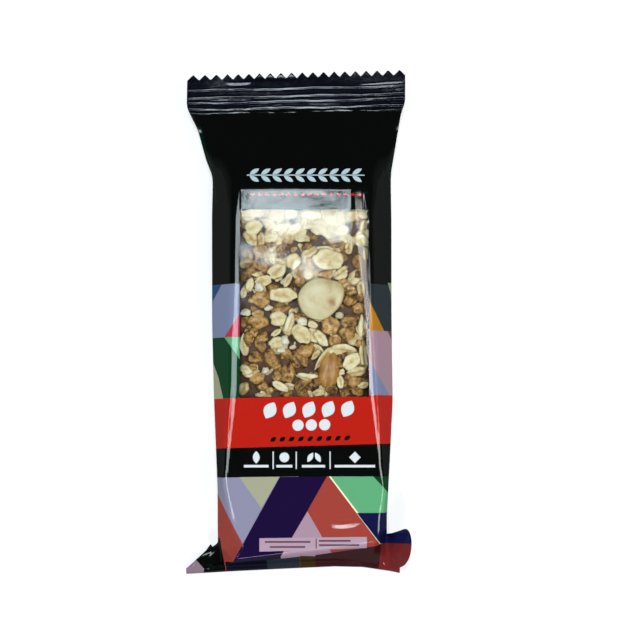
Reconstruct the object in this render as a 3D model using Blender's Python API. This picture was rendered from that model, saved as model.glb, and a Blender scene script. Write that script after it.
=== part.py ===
"""A nut bar in its shut flow-wrap pack, lying on its back with the window up.

The film is one flattened tube round the bar. It is crimped flat at both ends: the upper seal stands out
with its saw-cut edge, the lower one is folded under the pack between two gusset wings. A fin seal runs
down the back. Metres, +Z up, +Y towards the upper seal, origin under the middle of the pack.
"""
import math

import bmesh
import bpy
import numpy as np
from mathutils import Euler, Matrix, Vector

MM = 0.001

# The film tube, flattened at both end seals
TUBE_HALF = 30.65 * MM
TEETH = 20
TOOTH_DEPTH = 1.7 * MM
SEAL_HALF_THICKNESS = 0.4 * MM
CRIMP_HEIGHT = 0.2 * MM
CRIMP_PITCH = 2.0 * MM
LOWER_CRIMP = 0.14 * MM
WING_TUCK = 1.15
WING_START = 17.0 * MM

# Places along the pack
TIP_END = 71.7 * MM
SEAL_LINE = 60.7 * MM
BAR_TOP_END = 36.5 * MM
BAR_LOW_END = -60.5 * MM
FOLD_LINE = -69.0 * MM

# The lower seal turns under at the fold line, and the fin seal runs down the back
FOLD_RADIUS = 1.25 * MM
FOLDED_LENGTH = 10.4 * MM
FIN_TOP = 0.7 * MM
FIN_WIDTH = 9.0 * MM
FIN_ENDS = (-56.0 * MM, 46.0 * MM)

# Moves the finished pack so that the middle of its box lies over the origin
CENTRING = Vector((0.267 * MM, -0.819 * MM, 0.0))

# The clear window, and the bar behind it
WINDOW_X = (-16.5 * MM, 19.6 * MM)
WINDOW_Y = (-21.0 * MM, 31.4 * MM)
WINDOW_FILM = 0.6 * MM
WINDOW_GAP = 0.3 * MM
WINDOW_GRID = (11, 9)
OPENING_Z = (12.0 * MM, 17.0 * MM)
BAR_MIDDLE_X = 1.2 * MM
BAR_WIDTH = 38.4 * MM
BAR_BASE_Z = 1.2 * MM
BAR_TOP_Z = 13.2 * MM
POCKET_ROOF_Z = 14.0 * MM
GAP = 0.35 * MM
BAR_EDGE = 2.4 * MM
POCKET_EDGE = 1.5 * MM
CORNER_CUT = 6.0 * MM

# Where the front film is guided: distances across the flattened tube from its middle
RIM = TUBE_HALF
KNEE = 26.0 * MM
RIDGE = 20.5 * MM
GUIDES = np.array([-RIM, -KNEE, -RIDGE, RIDGE, KNEE, RIM])


def keys(*pairs, unit=MM):
    """A line through (place along the pack, value) pairs; places are in millimetres, values in unit."""
    places, values = np.array(pairs).T
    return lambda v: np.interp(v, places * MM, values * unit)


# The left and right lines of the front film seen from above: the rims where front and back film meet,
# the knees at the widest part of the body, and the ridges along the flat top
LEFT_RIM_X = keys((-69, -31.9), (-66.3, -31.2), (-63.6, -29.9), (-61.4, -26.2), (-60.2, -22.9), (0, -23.4),
                  (41, -24.2), (46.5, -26.4), (55.5, -28.8), (59, -30.5), (62.4, -32.0), (71.7, -31.9))
LEFT_KNEE_X = keys((-69, -26.5), (-66, -21.6), (-61, -22.2), (-22, -24.1), (0, -24.8), (42, -24.9), (60.7, -26.6),
                   (71.7, -26.8))
LEFT_RIDGE_X = keys((-69, -20.6), (-66, -19.6), (-60.8, -15.0), (-56.6, -17.9), (-44.8, -20.6), (6, -17.9),
                    (38, -16.9), (60.7, -20.8), (71.7, -21.0))
RIGHT_RIDGE_X = keys((-69, 19.6), (-60, 22.5), (-54.3, 22.7), (-46.5, 24.2), (-42, 22.7), (6, 20.3), (38, 19.6),
                     (60.7, 19.8), (71.7, 19.6))
RIGHT_KNEE_X = keys((-69, 25.6), (-65, 24.6), (-61, 24.3), (-22, 26.6), (0, 26.3), (42, 26.2), (60.7, 25.4),
                    (71.7, 25.2))
RIGHT_RIM_X = keys((-69, 28.2), (-67.8, 29.6), (-66.4, 30.9), (-65.2, 31.6), (-64.2, 31.3), (-63.2, 30.1),
                   (-62.2, 28.0), (-61, 24.7), (0, 25.2), (41, 25.8), (51, 27.5), (59, 28.9), (62.4, 30.1),
                   (71.7, 30.2))

# Their heights
RIM_Z = keys((-69, 3.1), (-61, 3.4), (-56, 4.2), (41, 4.4), (60.7, 6.3), (71.7, 5.6))
EAR_Z = keys((-69, 5.0), (-66.4, 9.0), (-64.2, 10.4), (-62.2, 9.6), (-61, 6.4), (-58, 4.4), (41, 4.4), (60.7, 6.3),
             (71.7, 5.6))
KNEE_Z = keys((-69, 3.1), (-66, 3.2), (-62, 4.6), (-56, 6.6), (42, 7.0), (60.7, 6.3), (71.7, 5.6))
TOP_Z = keys((-69, 2.6), (-65.4, 12.8), (-63, 14.1), (-55, 14.6), (38, 14.6), (41.5, 13.4), (58, 6.9), (60.7, 6.3),
             (71.7, 5.6))

# How far the lower end and the upper seal are turned in the plane of the table, as rise over run
SLANT = keys((-69, 0.0), (-64.4, 0.125), (-54, 0.0), (36, 0.0), (60.7, 0.022), (71.7, 0.026), unit=1.0)

# The right wing is curled up and towards the upper end
EAR_Y = keys((-69, 0.0), (-67.8, -1.4), (-66.4, -2.0), (-65.2, -0.9), (-64.2, 1.0), (-63.2, 2.2), (-62.2, 0.6),
             (-61, -1.6), (-58, -1.0), (-55, 0.0))

# Half the reach over which a corner of the film is rounded, across and along the pack
ROUND_ACROSS = keys((-69, 0.8), (-45, 1.0), (0, 1.6), (38, 3.0), (60.7, 2.0))
ROUND_ALONG = keys((-69, 0.6), (-60, 0.9), (0, 2.5), (60.7, 1.0))
ROUND_STEPS = np.array([-0.9, -0.45, 0.0, 0.45, 0.9])


def front_guides(v):
    """The front film's six guide points at v: arrays of x, y and z, one column for each guide."""
    lines = (LEFT_RIM_X, LEFT_KNEE_X, LEFT_RIDGE_X, RIGHT_RIDGE_X, RIGHT_KNEE_X, RIGHT_RIM_X)
    x = np.stack([line(v) for line in lines])
    y = v + SLANT(v) * x
    y[5] += EAR_Y(v)
    z = np.stack([RIM_Z(v), KNEE_Z(v), TOP_Z(v), TOP_Z(v), KNEE_Z(v), EAR_Z(v)])
    return x, y, z


def across(guides, values, u):
    """Reads a guided value at u, where each point of u has its own row of guide values."""
    place = np.clip(np.searchsorted(guides, u, side="right") - 1, 0, len(guides) - 2)
    share = (u - guides[place]) / (guides[place + 1] - guides[place])
    rows = np.arange(len(u))
    return values[place, rows] * (1 - share) + values[place + 1, rows] * share


def front_body(u, v):
    """Points of the front film between the seals, its corners rounded by averaging over a small reach."""
    total = np.zeros((3, len(u)))
    for du in ROUND_STEPS:
        for dv in ROUND_STEPS:
            near_u = np.clip(u + du * ROUND_ACROSS(v), -RIM, RIM)
            near_v = v + dv * ROUND_ALONG(v)
            total += np.stack([across(GUIDES, values, near_u) for values in front_guides(near_v)])
    return total / len(ROUND_STEPS) ** 2


# The back film: its rims are the front film's, its belly touches the table on both sides of the fin seal
BACK_CORNER = 25.5 * MM
BACK_BELLY = 20.0 * MM
BACK_FIN = 9.0 * MM
BACK_GUIDES = np.array([-RIM, -BACK_CORNER, -BACK_BELLY, -BACK_FIN, BACK_FIN, BACK_BELLY, BACK_CORNER, RIM])
BACK_SHRINK = keys((-69, 1.0), (-63, 0.93), (-60, 0.9), (44, 0.9), (60.7, 1.0), unit=1.0)
BACK_MIDDLE_X = keys((-69, -1.0), (-60, 1.0), (44, 1.0), (60.7, -0.7))
CORNER_Z = keys((-69, 2.6), (-62.8, 2.2), (-59, 1.3), (44, 1.3), (60.7, 6.3), (71.7, 5.6))
BELLY_Z = keys((-69, 2.6), (-62.8, 1.9), (-60.6, 0.5), (-57, 0.0), (44, 0.0), (60.7, 6.3), (71.7, 5.6))
BACK_Z = keys((-69, 2.6), (-62.8, 1.9), (-60.6, 0.6), (-57, 0.4), (44, 0.4), (60.7, 6.3), (71.7, 5.6))


def back_body(u, v):
    """Points of the back film between the seals."""
    rims_x, rims_y, rims_z = front_guides(v)
    inner = BACK_GUIDES[1:-1, None] * BACK_SHRINK(v) + BACK_MIDDLE_X(v)
    x = np.vstack([rims_x[:1], inner, rims_x[-1:]])
    y = v + SLANT(v) * x
    y[-1] = rims_y[-1]
    z = np.stack([rims_z[0], CORNER_Z(v), BELLY_Z(v), BACK_Z(v), BACK_Z(v), BELLY_Z(v), CORNER_Z(v), rims_z[-1]])
    return np.stack([across(BACK_GUIDES, values, u) for values in (x, y, z)])


def crimp(v):
    """Height of the crimp ridges that the sealing jaws press across both end seals."""
    in_seal = np.clip((v - SEAL_LINE) / MM, 0, 1) * np.clip((TIP_END - TOOTH_DEPTH - v) / MM, 0, 1)
    return CRIMP_HEIGHT * in_seal * np.cos(2 * math.pi * (v - SEAL_LINE) / CRIMP_PITCH)


# How far the back film is pressed to the front one along the pack: fully at both seals, not on the body
PRESSED = keys((-69, 1.0), (-66, 0.0), (51, 0.0), (60.7, 1.0), unit=1.0)


def film(u, v, side):
    """Points of the film between the fold line and the upper edge; side is 1 for the front, -1 for the back."""
    if side > 0:
        points = front_body(u, v)
        points[2] += SEAL_HALF_THICKNESS
    else:
        points = back_body(u, v)
        at_rim = np.clip((np.abs(u) - BACK_CORNER) / (RIM - BACK_CORNER), 0, 1)
        points[2] -= SEAL_HALF_THICKNESS * np.maximum(PRESSED(v), at_rim)
    points[2] += crimp(v)
    return points.T


def folded_seal(u, run, side):
    """Points of the lower seal, run metres past the fold line: it turns under and lies back below the pack."""
    start = front_body(u, np.full(len(u), FOLD_LINE))
    turn = min(run / FOLD_RADIUS, math.pi)
    flat = max(run - math.pi * FOLD_RADIUS, 0)
    pressed = LOWER_CRIMP * math.cos(2 * math.pi * run / CRIMP_PITCH) if flat else 0.0
    reach = FOLD_RADIUS + side * SEAL_HALF_THICKNESS + pressed
    start[0] += flat * WING_TUCK * np.clip((-u - WING_START) / (RIM - WING_START), 0, 1)
    start[1] += -reach * math.sin(turn) + flat
    start[2] += reach * math.cos(turn) - FOLD_RADIUS
    return start.T


# Columns across the film: close together at the ridges on the body, one for each tooth at the seals
BODY_COLUMNS = np.array([30.65, 28.4, 26.2, 24.2, 22.6, 21.3, 20.2, 18.4, 12.8, 6.4]) * MM
BODY_COLUMNS = np.concatenate([-BODY_COLUMNS, [0.0], BODY_COLUMNS[::-1]])
SEAL_COLUMNS = np.linspace(-RIM, RIM, TEETH + 1)
UPPER_DRAW_IN = 16.0 * MM
LOWER_DRAW_IN = 6.0 * MM

# Stretches of the pack between the seals, as first place, last place and number of rings
SHOULDER_RINGS = (60.7, 34, 12)
BODY_RINGS = (24, -50, 9)
LOWER_RINGS = (-53, -69, 16)
FOLD_RINGS = 10


def stations():
    """Places along the pack where the film has a ring of points, from the upper edge to the fold line."""
    crimps = np.arange(TIP_END - TOOTH_DEPTH, SEAL_LINE + CRIMP_PITCH / 4, -CRIMP_PITCH / 2)
    stretches = (SHOULDER_RINGS, BODY_RINGS, LOWER_RINGS)
    return np.concatenate([crimps, *(np.linspace(first, last, count) * MM for first, last, count in stretches)])


def columns_at(v):
    """Columns across the film at v, drawn in from tooth spacing at the seals to ridge spacing on the body."""
    towards_body = np.clip(min((SEAL_LINE - v) / UPPER_DRAW_IN, (v - FOLD_LINE) / LOWER_DRAW_IN), 0, 1)
    return SEAL_COLUMNS * (1 - towards_body) + BODY_COLUMNS * towards_body


def ring_rows():
    """Front and back rows of points from the upper edge down the pack and round the lower fold."""
    rows = []
    for v in stations():
        u = columns_at(v)
        here = np.full(len(u), v)
        rows.append((film(u, here, 1), film(u, here, -1)))
    for run in np.linspace(0, FOLDED_LENGTH - TOOTH_DEPTH, FOLD_RINGS)[1:]:
        rows.append((folded_seal(SEAL_COLUMNS, run, 1), folded_seal(SEAL_COLUMNS, run, -1)))
    return rows


def add_teeth(bm, front, back, outward):
    """Closes one end of the film with a saw-cut edge: one tooth between each pair of columns."""
    for i in range(TEETH):
        peaks = []
        for row in (front, back):
            middle = (row[i].co + row[i + 1].co) / 2
            peaks.append(bm.verts.new(middle + outward * TOOTH_DEPTH))
        bm.faces.new((front[i], front[i + 1], peaks[0]))
        bm.faces.new((back[i + 1], back[i], peaks[1]))
        bm.faces.new((front[i], peaks[0], peaks[1], back[i]))
        bm.faces.new((peaks[0], front[i + 1], back[i + 1], peaks[1]))


def film_solid():
    """The outer form of the pack as one closed mesh."""
    bm = bmesh.new()
    rows = [tuple([bm.verts.new(p) for p in side] for side in row) for row in ring_rows()]
    for (front, back), (next_front, next_back) in zip(rows, rows[1:]):
        for i in range(TEETH):
            bm.faces.new((front[i], next_front[i], next_front[i + 1], front[i + 1]))
            bm.faces.new((back[i], back[i + 1], next_back[i + 1], next_back[i]))
        bm.faces.new((front[0], back[0], next_back[0], next_front[0]))
        bm.faces.new((front[-1], next_front[-1], next_back[-1], back[-1]))
    add_teeth(bm, *rows[0], Vector((0, 1, 0)))
    add_teeth(bm, *rows[-1], Vector((0, 1, 0)))
    bmesh.ops.recalc_face_normals(bm, faces=bm.faces)
    return mesh_object("wrapper", bm)


def mesh_object(name, bm):
    mesh = bpy.data.meshes.new(name)
    bm.to_mesh(mesh)
    bm.free()
    thing = bpy.data.objects.new(name, mesh)
    bpy.context.scene.collection.objects.link(thing)
    return thing


def box(name, low, high, edge=0.0):
    """A box between two corners, its edges cut back by edge."""
    bm = bmesh.new()
    bmesh.ops.create_cube(bm, size=1.0)
    low, high = Vector(low), Vector(high)
    for vert in bm.verts:
        vert.co = Vector(((a + b) / 2 + (b - a) * c for a, b, c in zip(low, high, vert.co)))
    if edge:
        bmesh.ops.bevel(bm, geom=bm.edges[:], offset=edge, segments=1, affect="EDGES")
    bmesh.ops.recalc_face_normals(bm, faces=bm.faces)
    return mesh_object(name, bm)


def trim_corner(bm, low):
    """Rubs off the bar's lower left corner: points nearer to it than the cut are drawn in to a slanted side."""
    for vert in bm.verts:
        short = CORNER_CUT - (vert.co.x - low[0]) - (vert.co.y - low[1])
        if short > 0:
            vert.co.x += short / 2
            vert.co.y += short / 2


def slice_across(bm, place, axis):
    """Adds a loop of points to every face that the plane through place, square to an axis, crosses."""
    normal = Vector((float(axis == 0), float(axis == 1), float(axis == 2)))
    bmesh.ops.bisect_plane(bm, geom=bm.verts[:] + bm.edges[:] + bm.faces[:], plane_co=place, plane_no=normal)


def make_pocket():
    """The room that the bar lies in."""
    half = BAR_WIDTH / 2 + GAP
    low = (BAR_MIDDLE_X - half, BAR_LOW_END - GAP, BAR_BASE_Z - GAP)
    high = (BAR_MIDDLE_X + half, BAR_TOP_END + GAP, POCKET_ROOF_Z)
    pocket = box("pocket", low, high, POCKET_EDGE)
    bm = bmesh.new()
    bm.from_mesh(pocket.data)
    for axis in (0, 1):
        slice_across(bm, Vector(low) + Vector((CORNER_CUT, CORNER_CUT, 0)), axis)
    trim_corner(bm, low)
    bm.to_mesh(pocket.data)
    bm.free()
    return pocket


def keep_result(thing, *helpers):
    """Applies the modifiers on thing and removes the objects that they used."""
    result = bpy.data.meshes.new_from_object(thing.evaluated_get(bpy.context.evaluated_depsgraph_get()))
    thing.modifiers.clear()
    thing.data = result
    for helper in helpers:
        bpy.data.objects.remove(helper)


def join(thing, helper, operation):
    """Adds helper to thing, or cuts it out."""
    step = thing.modifiers.new("join", "BOOLEAN")
    step.operation = operation
    step.object = helper
    keep_result(thing, helper)


def make_wrapper():
    """The printed film: the outer form, the fin seal on its back, the bar's pocket and the window's opening."""
    wrapper = film_solid()
    fin = box("fin", (-FIN_WIDTH, FIN_ENDS[0], 0), (0, FIN_ENDS[1], FIN_TOP))
    join(wrapper, fin, "UNION")
    join(wrapper, make_pocket(), "DIFFERENCE")
    opening = box("opening", (WINDOW_X[0], WINDOW_Y[0], OPENING_Z[0]), (WINDOW_X[1], WINDOW_Y[1], OPENING_Z[1]))
    join(wrapper, opening, "DIFFERENCE")
    return wrapper


def make_window():
    """The clear part of the film: a thin panel that lies in the opening, its face level with the film."""
    xs = np.linspace(WINDOW_X[0] + WINDOW_GAP, WINDOW_X[1] - WINDOW_GAP, WINDOW_GRID[0])
    ys = np.linspace(WINDOW_Y[0] + WINDOW_GAP, WINDOW_Y[1] - WINDOW_GAP, WINDOW_GRID[1])
    bm = bmesh.new()
    layers = []
    for under in (False, True):
        rows = []
        for y in ys:
            v = np.full(len(xs), y)
            left, right = LEFT_RIDGE_X(y), RIGHT_RIDGE_X(y)
            u = -RIDGE + 2 * RIDGE * (xs - left) / (right - left)
            z = film(u, v, 1)[:, 2] - (WINDOW_FILM if under else 0.0)
            rows.append([bm.verts.new((x, y, height)) for x, height in zip(xs, z)])
        layers.append(rows)
    top, base = layers
    for j in range(len(ys) - 1):
        for i in range(len(xs) - 1):
            bm.faces.new((top[j][i], top[j][i + 1], top[j + 1][i + 1], top[j + 1][i]))
            bm.faces.new((base[j][i], base[j + 1][i], base[j + 1][i + 1], base[j][i + 1]))
    rim_top = top[0] + [row[-1] for row in top[1:]] + top[-1][-2::-1] + [row[0] for row in top[-2:0:-1]]
    rim_base = base[0] + [row[-1] for row in base[1:]] + base[-1][-2::-1] + [row[0] for row in base[-2:0:-1]]
    for i in range(len(rim_top)):
        bm.faces.new((rim_top[i - 1], rim_base[i - 1], rim_base[i], rim_top[i]))
    bmesh.ops.recalc_face_normals(bm, faces=bm.faces)
    return mesh_object("window", bm)


# The bar: an uneven pressed core, with the flakes and nuggets that show behind the window fused on
SEED = 41
CORE_STEP = 5.0 * MM
CORE_UNEVEN = 0.35 * MM
CORE_SINK = 1.6 * MM
CORE_DROP = 0.5 * MM
FACE_DEPTH = 3.0 * MM
SHOWS_X = (WINDOW_X[0] - 0.6 * MM, WINDOW_X[1] + 0.2 * MM)
SHOWS_Y = (WINDOW_Y[0] - 1.0 * MM, WINDOW_Y[1] + 1.0 * MM)

# Kinds of piece: how many, shortest and longest length, width as a share of length, thickness as a share of
# length, steepest tilt in degrees
KINDS = {
    "flake": (34, 5.4 * MM, 8.2 * MM, 0.72, 0.2, 24),
    "nugget": (46, 4.2 * MM, 6.0 * MM, 0.84, 0.72, 30),
}
SIDE_ROOM = 1.2 * MM
CLOSENESS = 0.36
MOST_SINK = 0.9 * MM
TRIES = 60
MAIN_LEAN = 4.0
ROUGHNESS = {"flake": 0.06, "nugget": 0.13}
ROUNDING = 0.7

# Pieces that stand out, with their kind, middle, size (length, width, thickness) and turn in degrees
MAIN_PIECES = (
    ("flake", (6.3, 6.3), (13.4, 12.0, 1.9), 20),
    ("nugget", (8.5, -14.0), (10.4, 5.3, 3.6), 92),
    ("flake", (8.3, 17.6), (8.8, 6.0, 1.5), -4),
    ("flake", (-4.9, 15.2), (5.6, 4.4, 1.3), 30),
    ("flake", (-3.4, 8.6), (7.8, 4.4, 1.4), 4),
    ("flake", (2.2, -1.6), (7.2, 4.6, 1.4), -58),
    ("flake", (11.6, -7.0), (7.4, 2.9, 1.8), 8),
    ("flake", (14.6, -9.4), (7.0, 3.2, 1.9), 34),
)


def uneven(point):
    """A smooth uneven height from -1 to 1 that depends on the place alone."""
    x, y = point[0] / MM, point[1] / MM
    return (math.sin(0.61 * x + 0.23 * y) + math.sin(0.37 * y - 0.52 * x + 1.7) + math.sin(0.83 * y + 2.1)) / 3


def bar_core():
    """The pressed core: a block with rounded edges and an uneven face, sunk where the loose pieces lie on it."""
    low = Vector((BAR_MIDDLE_X - BAR_WIDTH / 2, BAR_LOW_END, BAR_BASE_Z))
    high = Vector((BAR_MIDDLE_X + BAR_WIDTH / 2, BAR_TOP_END, BAR_TOP_Z - CORE_DROP))
    bm = bmesh.new()
    bmesh.ops.create_cube(bm, size=1.0)
    for vert in bm.verts:
        vert.co = Vector(((a + b) / 2 + (b - a) * c for a, b, c in zip(low, high, vert.co)))
    for axis in range(3):
        cuts = round((high[axis] - low[axis]) / CORE_STEP)
        for cut in range(1, cuts):
            slice_across(bm, low.lerp(high, cut / cuts), axis)
    for vert in bm.verts:
        held = Vector((min(max(c, a + BAR_EDGE), b - BAR_EDGE) for c, a, b in zip(vert.co, low, high)))
        out = vert.co - held
        if out.length > 0:
            place = held + out.normalized() * BAR_EDGE
            vert.co = place - out.normalized() * CORE_UNEVEN * (1 + uneven(place))
        shows_x = SHOWS_X[0] < vert.co.x < SHOWS_X[1]
        shows_y = SHOWS_Y[0] < vert.co.y < SHOWS_Y[1]
        if shows_x and shows_y and vert.co.z > BAR_TOP_Z - FACE_DEPTH:
            vert.co.z -= CORE_SINK
    trim_corner(bm, low)
    return mesh_object("nut_bar", bm)


def scattered_pieces():
    """The main pieces, then the rest by size, each put where it is clear of the earlier ones."""
    draw = np.random.RandomState(SEED)
    pieces = []
    for kind, middle, size, turn in MAIN_PIECES:
        pieces.append((kind, np.array(middle) * MM, np.array(size) * MM, turn, MAIN_LEAN, 0.0))
    for kind, (count, shortest, longest, wide, thick, tilt) in KINDS.items():
        for length in np.linspace(longest, shortest, count):
            size = np.array([length, length * wide * draw.uniform(0.88, 1.12), length * thick])
            for attempt in range(TRIES):
                middle = np.array([draw.uniform(*SHOWS_X), draw.uniform(*SHOWS_Y)])
                room = BAR_WIDTH / 2 - SIDE_ROOM - length / 2
                middle[0] = np.clip(middle[0], BAR_MIDDLE_X - room, BAR_MIDDLE_X + room)
                reach = size[:2].mean()
                if all(np.hypot(*(middle - p[1])) > CLOSENESS * (reach + p[2][:2].mean()) for p in pieces):
                    lean = draw.uniform(-tilt, tilt)
                    sink = draw.uniform(0.0, MOST_SINK)
                    pieces.append((kind, middle, size, draw.uniform(0, 360), lean, sink))
                    break
    return pieces


def piece_object(number, kind, middle, size, turn, lean, sink):
    """One flake or nugget with few sides, its highest point just under the bar's top."""
    draw = np.random.RandomState(SEED + number)
    bm = bmesh.new()
    if kind == "flake":
        bmesh.ops.create_uvsphere(bm, u_segments=9, v_segments=4, radius=0.5)
    else:
        bmesh.ops.create_icosphere(bm, subdivisions=1, radius=0.5)
        bmesh.ops.subdivide_edges(bm, edges=bm.edges[:], cuts=1, use_grid_fill=True)
        for vert in bm.verts:
            vert.co = vert.co.lerp(vert.co.normalized() * 0.5, ROUNDING)
    rough = ROUGHNESS[kind]
    turned = Euler((math.radians(lean), math.radians(lean / 2), math.radians(turn))).to_matrix()
    for vert in bm.verts:
        vert.co *= 1 + draw.uniform(-rough, rough)
        vert.co = turned @ Vector((c * s for c, s in zip(vert.co, size)))
    top = max(vert.co.z for vert in bm.verts)
    for vert in bm.verts:
        vert.co += Vector((middle[0], middle[1], BAR_TOP_Z - sink - top))
    bmesh.ops.recalc_face_normals(bm, faces=bm.faces)
    return mesh_object(f"piece_{number}", bm)


def largest_shell(thing):
    """Drops loose scraps and sealed hollows, which are shells of their own."""
    bm = bmesh.new()
    bm.from_mesh(thing.data)
    unseen, shells = set(bm.verts), []
    while unseen:
        shell, edge_of = set(), [unseen.pop()]
        while edge_of:
            vert = edge_of.pop()
            shell.add(vert)
            for edge in vert.link_edges:
                other = edge.other_vert(vert)
                if other in unseen:
                    unseen.discard(other)
                    edge_of.append(other)
        shells.append(shell)
    shells.sort(key=len)
    loose = [vert for shell in shells[:-1] for vert in shell]
    bmesh.ops.delete(bm, geom=loose, context="VERTS")
    bm.to_mesh(thing.data)
    bm.free()


def make_nut_bar():
    """The core with every piece that shows joined to it by one Boolean union."""
    bar = bar_core()
    group = bpy.data.collections.new("pieces")
    bpy.context.scene.collection.children.link(group)
    for number, piece in enumerate(scattered_pieces()):
        thing = piece_object(number, *piece)
        bpy.context.scene.collection.objects.unlink(thing)
        group.objects.link(thing)
    step = bar.modifiers.new("fuse", "BOOLEAN")
    step.operation = "UNION"
    step.operand_type = "COLLECTION"
    step.collection = group
    keep_result(bar, *group.objects[:])
    bpy.data.collections.remove(group)
    largest_shell(bar)
    return bar


def finish(thing, name, colour, roughness, alpha=1.0):
    """Moves a sub-part to its place in the centred pack and gives it its own material."""
    thing.data.transform(Matrix.Translation(CENTRING))
    material = bpy.data.materials.new(name)
    material.use_nodes = True
    shader = material.node_tree.nodes["Principled BSDF"]
    shader.inputs["Base Color"].default_value = (*colour, 1.0)
    shader.inputs["Roughness"].default_value = roughness
    shader.inputs["Metallic"].default_value = 0.0
    shader.inputs["Alpha"].default_value = alpha
    thing.data.materials.clear()
    thing.data.materials.append(material)


def main():
    for old in list(bpy.data.objects):
        bpy.data.objects.remove(old)
    finish(make_wrapper(), "printed_film", (0.012, 0.014, 0.018), 0.25)
    finish(make_window(), "clear_film", (0.9, 0.92, 0.92), 0.1, alpha=0.3)
    finish(make_nut_bar(), "oat_nut_bar", (0.56, 0.38, 0.18), 0.7)


main()
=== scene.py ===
"""Looks of a nut bar in its shut flow-wrap pack: printed gloss film with a clear window, and behind it the
pressed bar of oats, chopped nuts and almond. Metres, +Z up, +Y towards the upper seal.
"""
import math

import bmesh
import bpy
import numpy as np
from mathutils import Euler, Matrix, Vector, noise


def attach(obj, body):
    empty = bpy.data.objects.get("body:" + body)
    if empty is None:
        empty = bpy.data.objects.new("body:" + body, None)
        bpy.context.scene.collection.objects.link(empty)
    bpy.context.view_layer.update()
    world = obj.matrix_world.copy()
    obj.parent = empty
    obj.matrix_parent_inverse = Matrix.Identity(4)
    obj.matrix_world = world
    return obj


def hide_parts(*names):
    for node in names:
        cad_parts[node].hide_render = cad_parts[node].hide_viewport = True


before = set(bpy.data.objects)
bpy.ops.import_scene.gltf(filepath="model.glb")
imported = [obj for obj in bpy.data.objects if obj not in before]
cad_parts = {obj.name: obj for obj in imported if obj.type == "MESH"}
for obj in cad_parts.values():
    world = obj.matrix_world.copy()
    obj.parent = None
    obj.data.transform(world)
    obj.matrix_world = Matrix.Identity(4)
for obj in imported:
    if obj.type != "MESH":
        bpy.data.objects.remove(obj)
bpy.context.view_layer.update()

MM = 0.001

# The whole pack is moved by this, as in the CAD source, so that the middle of its box lies over the origin
CENTRING = np.array([0.267, -0.819, 0.0]) * MM

# The form of the film, as in the CAD source but thinner and with its real creases
TUBE_HALF = 30.65 * MM
TEETH = 20
TOOTH_DEPTH = 1.7 * MM
SEAL_HALF_THICKNESS = 0.3 * MM
LOWER_CRIMP = 0.14 * MM
LOWER_CRIMP_PITCH = 2.0 * MM
WING_TUCK = 1.15
WING_START = 17.0 * MM
TIP_END = 71.7 * MM
SEAL_LINE = 60.7 * MM
FOLD_LINE = -69.0 * MM
FOLD_RADIUS = 1.25 * MM
FOLDED_LENGTH = 10.4 * MM

WINDOW_X = (-16.5 * MM, 19.6 * MM)
WINDOW_Y = (-21.0 * MM, 31.4 * MM)

RIM = TUBE_HALF
KNEE = 26.0 * MM
RIDGE = 20.5 * MM
GUIDES = np.array([-RIM, -KNEE, -RIDGE, RIDGE, KNEE, RIM])


def keys(*pairs, unit=MM):
    """A line through (place along the pack, value) pairs; places are in millimetres, values in unit."""
    places, values = np.array(pairs).T
    return lambda v: np.interp(v, places * MM, values * unit)


# The film's guide lines seen from above: rims, knees at the widest part, ridges along the flat top
LEFT_RIM_X = keys((-69, -31.9), (-66.3, -31.2), (-63.6, -29.9), (-61.4, -26.2), (-60.2, -22.9),
                  (0, -23.4), (41, -24.2), (46.5, -26.4), (55.5, -28.8), (59, -30.5), (62.4, -32.0),
                  (71.7, -31.9))
LEFT_KNEE_X = keys((-69, -26.5), (-66, -21.6), (-61, -22.2), (-22, -24.1), (0, -24.8), (42, -24.9),
                   (60.7, -26.6), (71.7, -26.8))
LEFT_RIDGE_X = keys((-69, -20.6), (-66, -19.6), (-60.8, -15.7), (-56.6, -18.5), (-44.8, -21.2),
                    (-20, -19.5), (6, -18.9), (38, -18.5), (60.7, -20.8), (71.7, -21.0))
RIGHT_RIDGE_X = keys((-69, 19.6), (-60, 23.1), (-54.3, 23.3), (-46.5, 24.5), (-42, 23.7), (6, 20.5),
                     (38, 19.6), (60.7, 19.8), (71.7, 19.6))
RIGHT_KNEE_X = keys((-69, 25.6), (-65, 24.6), (-61, 24.3), (-22, 26.6), (0, 26.3), (42, 26.2),
                    (60.7, 25.4), (71.7, 25.2))
RIGHT_RIM_X = keys((-69, 28.2), (-67.8, 29.6), (-66.4, 30.9), (-65.2, 31.6), (-64.2, 31.3), (-63.2, 30.1),
                   (-62.2, 28.0), (-61, 24.7), (0, 25.2), (41, 25.8), (51, 27.5), (59, 28.9),
                   (62.4, 30.1), (71.7, 30.2))
RIM_Z = keys((-69, 3.1), (-61, 3.4), (-56, 4.2), (41, 4.4), (50, 6.5), (60.7, 6.3), (71.7, 5.6))
EAR_Z = keys((-69, 5.0), (-66.4, 9.0), (-64.2, 10.4), (-62.2, 9.6), (-61, 6.4), (-58, 4.4), (41, 4.4),
             (50, 6.5), (60.7, 6.3), (71.7, 5.6))
KNEE_Z = keys((-69, 3.1), (-66, 3.2), (-62, 4.6), (-56, 6.6), (42, 7.0), (50, 7.7), (60.7, 6.3),
              (71.7, 5.6))
TOP_Z = keys((-69, 2.6), (-65.0, 12.6), (-64.3, 14.0), (-63.5, 14.3), (-55, 14.6), (38, 14.6),
             (41.5, 13.4), (58, 6.9), (60.7, 6.3), (71.7, 5.6))
SLANT = keys((-69, 0.0), (-64.7, 0.125), (-63.4, 0.125), (-54, 0.0), (36, 0.0), (60.7, 0.022),
             (71.7, 0.026), unit=1.0)
EAR_Y = keys((-69, 0.0), (-67.8, -1.4), (-66.4, -2.0), (-65.2, -0.9), (-64.2, 1.0), (-63.2, 2.2),
             (-62.2, 0.6), (-61, -1.6), (-58, -1.0), (-55, 0.0))
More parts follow.
